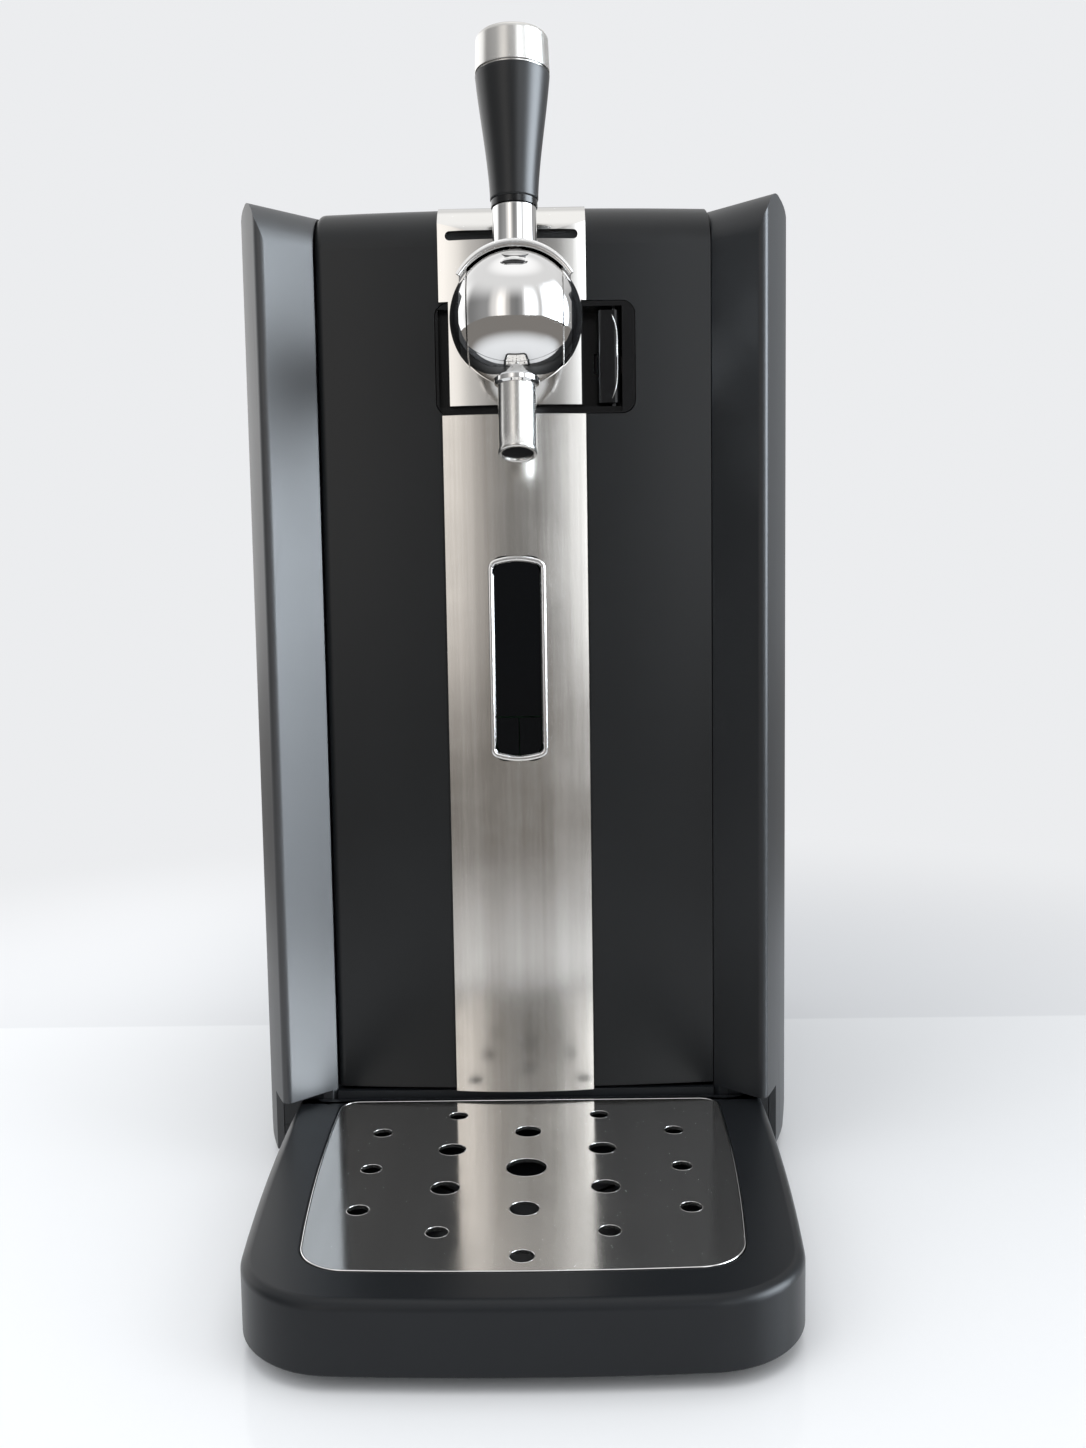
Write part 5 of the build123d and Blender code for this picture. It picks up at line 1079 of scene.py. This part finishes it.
# Display: a bright bezel with gently arched ends
bezelValues = {
    "half": 12.9,
    "low": 189,
    "high": 281,
    "arch": 2.6,
    "round": 4.4,
    "roundSteps": 8,
    "sideSteps": 12,
    "endSteps": 25,
    "cornerSteps": 2,       # end points that the rounded corner takes the place of
    "rim": 2.6,
    "crest": 0.7,           # share of the rim that is the crest
    "proud": 0.95,
    "sunk": 1.6,
    "inner": 0.15,
    "deep": 3.2,
    "lap": 0.4,
    "rimRounds": (0.85, 0.8, 0.2, 0.2),
    "rimSteps": 6,
}


# Straight sides, ends that bow out by arch (1 - (x / half)^2), and rounded corners; clockwise seen
# from ahead
def bezelOutline(values):
    half, middle = values["half"], (values["high"] + values["low"]) / 2
    side = values["high"] - values["arch"] - middle
    x = np.linspace(-half, half, values["endSteps"])
    first, last = values["cornerSteps"] + 1, values["endSteps"] // 2
    end = np.stack([x, side + values["arch"] * (1 - (x / half) ** 2)], axis=-1)[first:last]
    corner = roundLine([(-half, 0), (-half, side), end[0]], [values["round"]], values["roundSteps"])[1:-1]
    straight = np.linspace([-half, 0], corner[0], values["sideSteps"], endpoint=False)
    quarter = np.concatenate([straight, corner, end])
    upper = np.concatenate([quarter, quarter[::-1] * [-1, 1]])
    return np.concatenate([upper, upper[1:-1][::-1] * [1, -1]]) + [0, middle]


# The bezel's section carried along its outline: forward along its outside, over a soft crest, and back
# inside it to the window
def makeBezel(values):
    rim, proud, deep = values["rim"], values["proud"], values["deep"]
    corners = [
        (0, values["sunk"]),
        (0, -proud),
        (-rim * values["crest"], -proud),
        (-rim, values["inner"]),
        (-rim, deep),
        (-values["lap"], deep),
    ]
    section = roundLine(corners, values["rimRounds"], values["rimSteps"])
    x, z, y = carried(bezelOutline(values), section)
    piece = makePiece("bezel_rim", joined(x, y, z), True, True, "bright", "door")
    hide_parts("display_bezel")


makeBezel(bezelValues)
print("display ready")

# Latch: a chrome bowed line along the lever's edge, a painted highlight for the light that the lever's
# rounded edge catches
latchValues = {
    "left": 43.4,
    "bow": 2.6,
    "low": 349.5,
    "high": 386.5,
    "front": 4.45,
    "radius": 0.28,
    "steps": 49,
    "aroundSteps": 8,
}


# A thin tube along x = left + bow (1 - s^4), where s runs from -1 to 1 over its height; its radius is
# that of its middle times sqrt(1 - s^8)
def makeLeverHighlight(values):
    share = np.linspace(-1, 1, values["steps"])
    x = values["left"] + values["bow"] * (1 - share**4)
    z = values["low"] + (values["high"] - values["low"]) * (share + 1) / 2
    path = joined(x, values["front"], z)
    along = np.gradient(path, axis=0)
    along /= np.linalg.norm(along, axis=1)[:, None]
    inwards = np.array([0, 1, 0])
    side = np.cross(along, inwards)[:, None, :]
    angle = circleAngles(values["aroundSteps"])[None, :, None]
    radius = values["radius"] * np.sqrt(np.clip(1 - share**8, 0, 1))[:, None, None]
    points = path[:, None, :] + radius * (side * np.cos(angle) + inwards * np.sin(angle))
    makePiece("lever_edge_highlight", points, False, True, "chrome", "latch")


makeLeverHighlight(latchValues)

# Floor: it keeps the object's shadow, and far away it fades into the wall's tone
floorValues = {
    "half": 4,
    "color": (0.95, 0.955, 0.96, 1),
    "shadedBeyond": (0.85, 0.855, 0.865, 1),      # painted shade past a line behind the object, where the floor meets the wall
    "edge": (0.157, 0.16),
    "roughness": 0.1,
    "shine": 0.25,
    "fade": (0.3, 0.85),
    "room": (0.25, 0.235, 0.22, 1),         # what shiny things mirror, far in front
    "roomFade": (0.36, 0.8),
}


def makeFloor(values, wall):
    mesh = bpy.data.meshes.new("floor")
    half = values["half"]
    corners = [(-half, -half, 0), (half, -half, 0), (half, half, 0), (-half, half, 0)]
    mesh.from_pydata(corners, [], [(0, 1, 2, 3)])
    floor = bpy.data.objects.new("floor", mesh)
    scene.collection.objects.link(floor)
    material = bpy.data.materials.new("paleFloor")
    material.use_nodes = True
    tree = material.node_tree
    place = addNode(tree, "ShaderNodeTexCoord").outputs["Object"]
    behind = addNode(tree, "ShaderNodeSeparateXYZ", {0: place}).outputs["Y"]
    # past that line the floor's tone turns darker, painted shade where the floor meets the wall
    table = mixColors(tree, rangeNode(tree, behind, *values["edge"]), values["color"], values["shadedBeyond"])
    shader = tree.nodes["Principled BSDF"]
    surface = {"Base Color": table, "Roughness": values["roughness"], "Specular IOR Level": values["shine"]}
    setInputs(tree, shader, surface)
    away = addNode(tree, "ShaderNodeVectorMath", {0: place}, operation="LENGTH").outputs["Value"]
    path = addNode(tree, "ShaderNodeLightPath").outputs
    look = shader.outputs[0]
    # seen by the camera it fades to the wall's tone, and mirrored by the object to a dim room's
    for color, (near, far), ray in (
        (wall, values["fade"], "Is Camera Ray"),
        (values["room"], values["roomFade"], "Is Glossy Ray"),
    ):
        glow = addNode(tree, "ShaderNodeEmission", {"Color": color, "Strength": 1}).outputs[0]
        fade = rangeNode(tree, away, near, far, kind="SMOOTHSTEP")
        look = mixShaders(tree, mathNode(tree, "MULTIPLY", fade, path[ray]), look, glow)
    setInputs(tree, tree.nodes["Material Output"], {0: look})
    mesh.materials.append(material)


makeFloor(floorValues, lightValues["wall"])
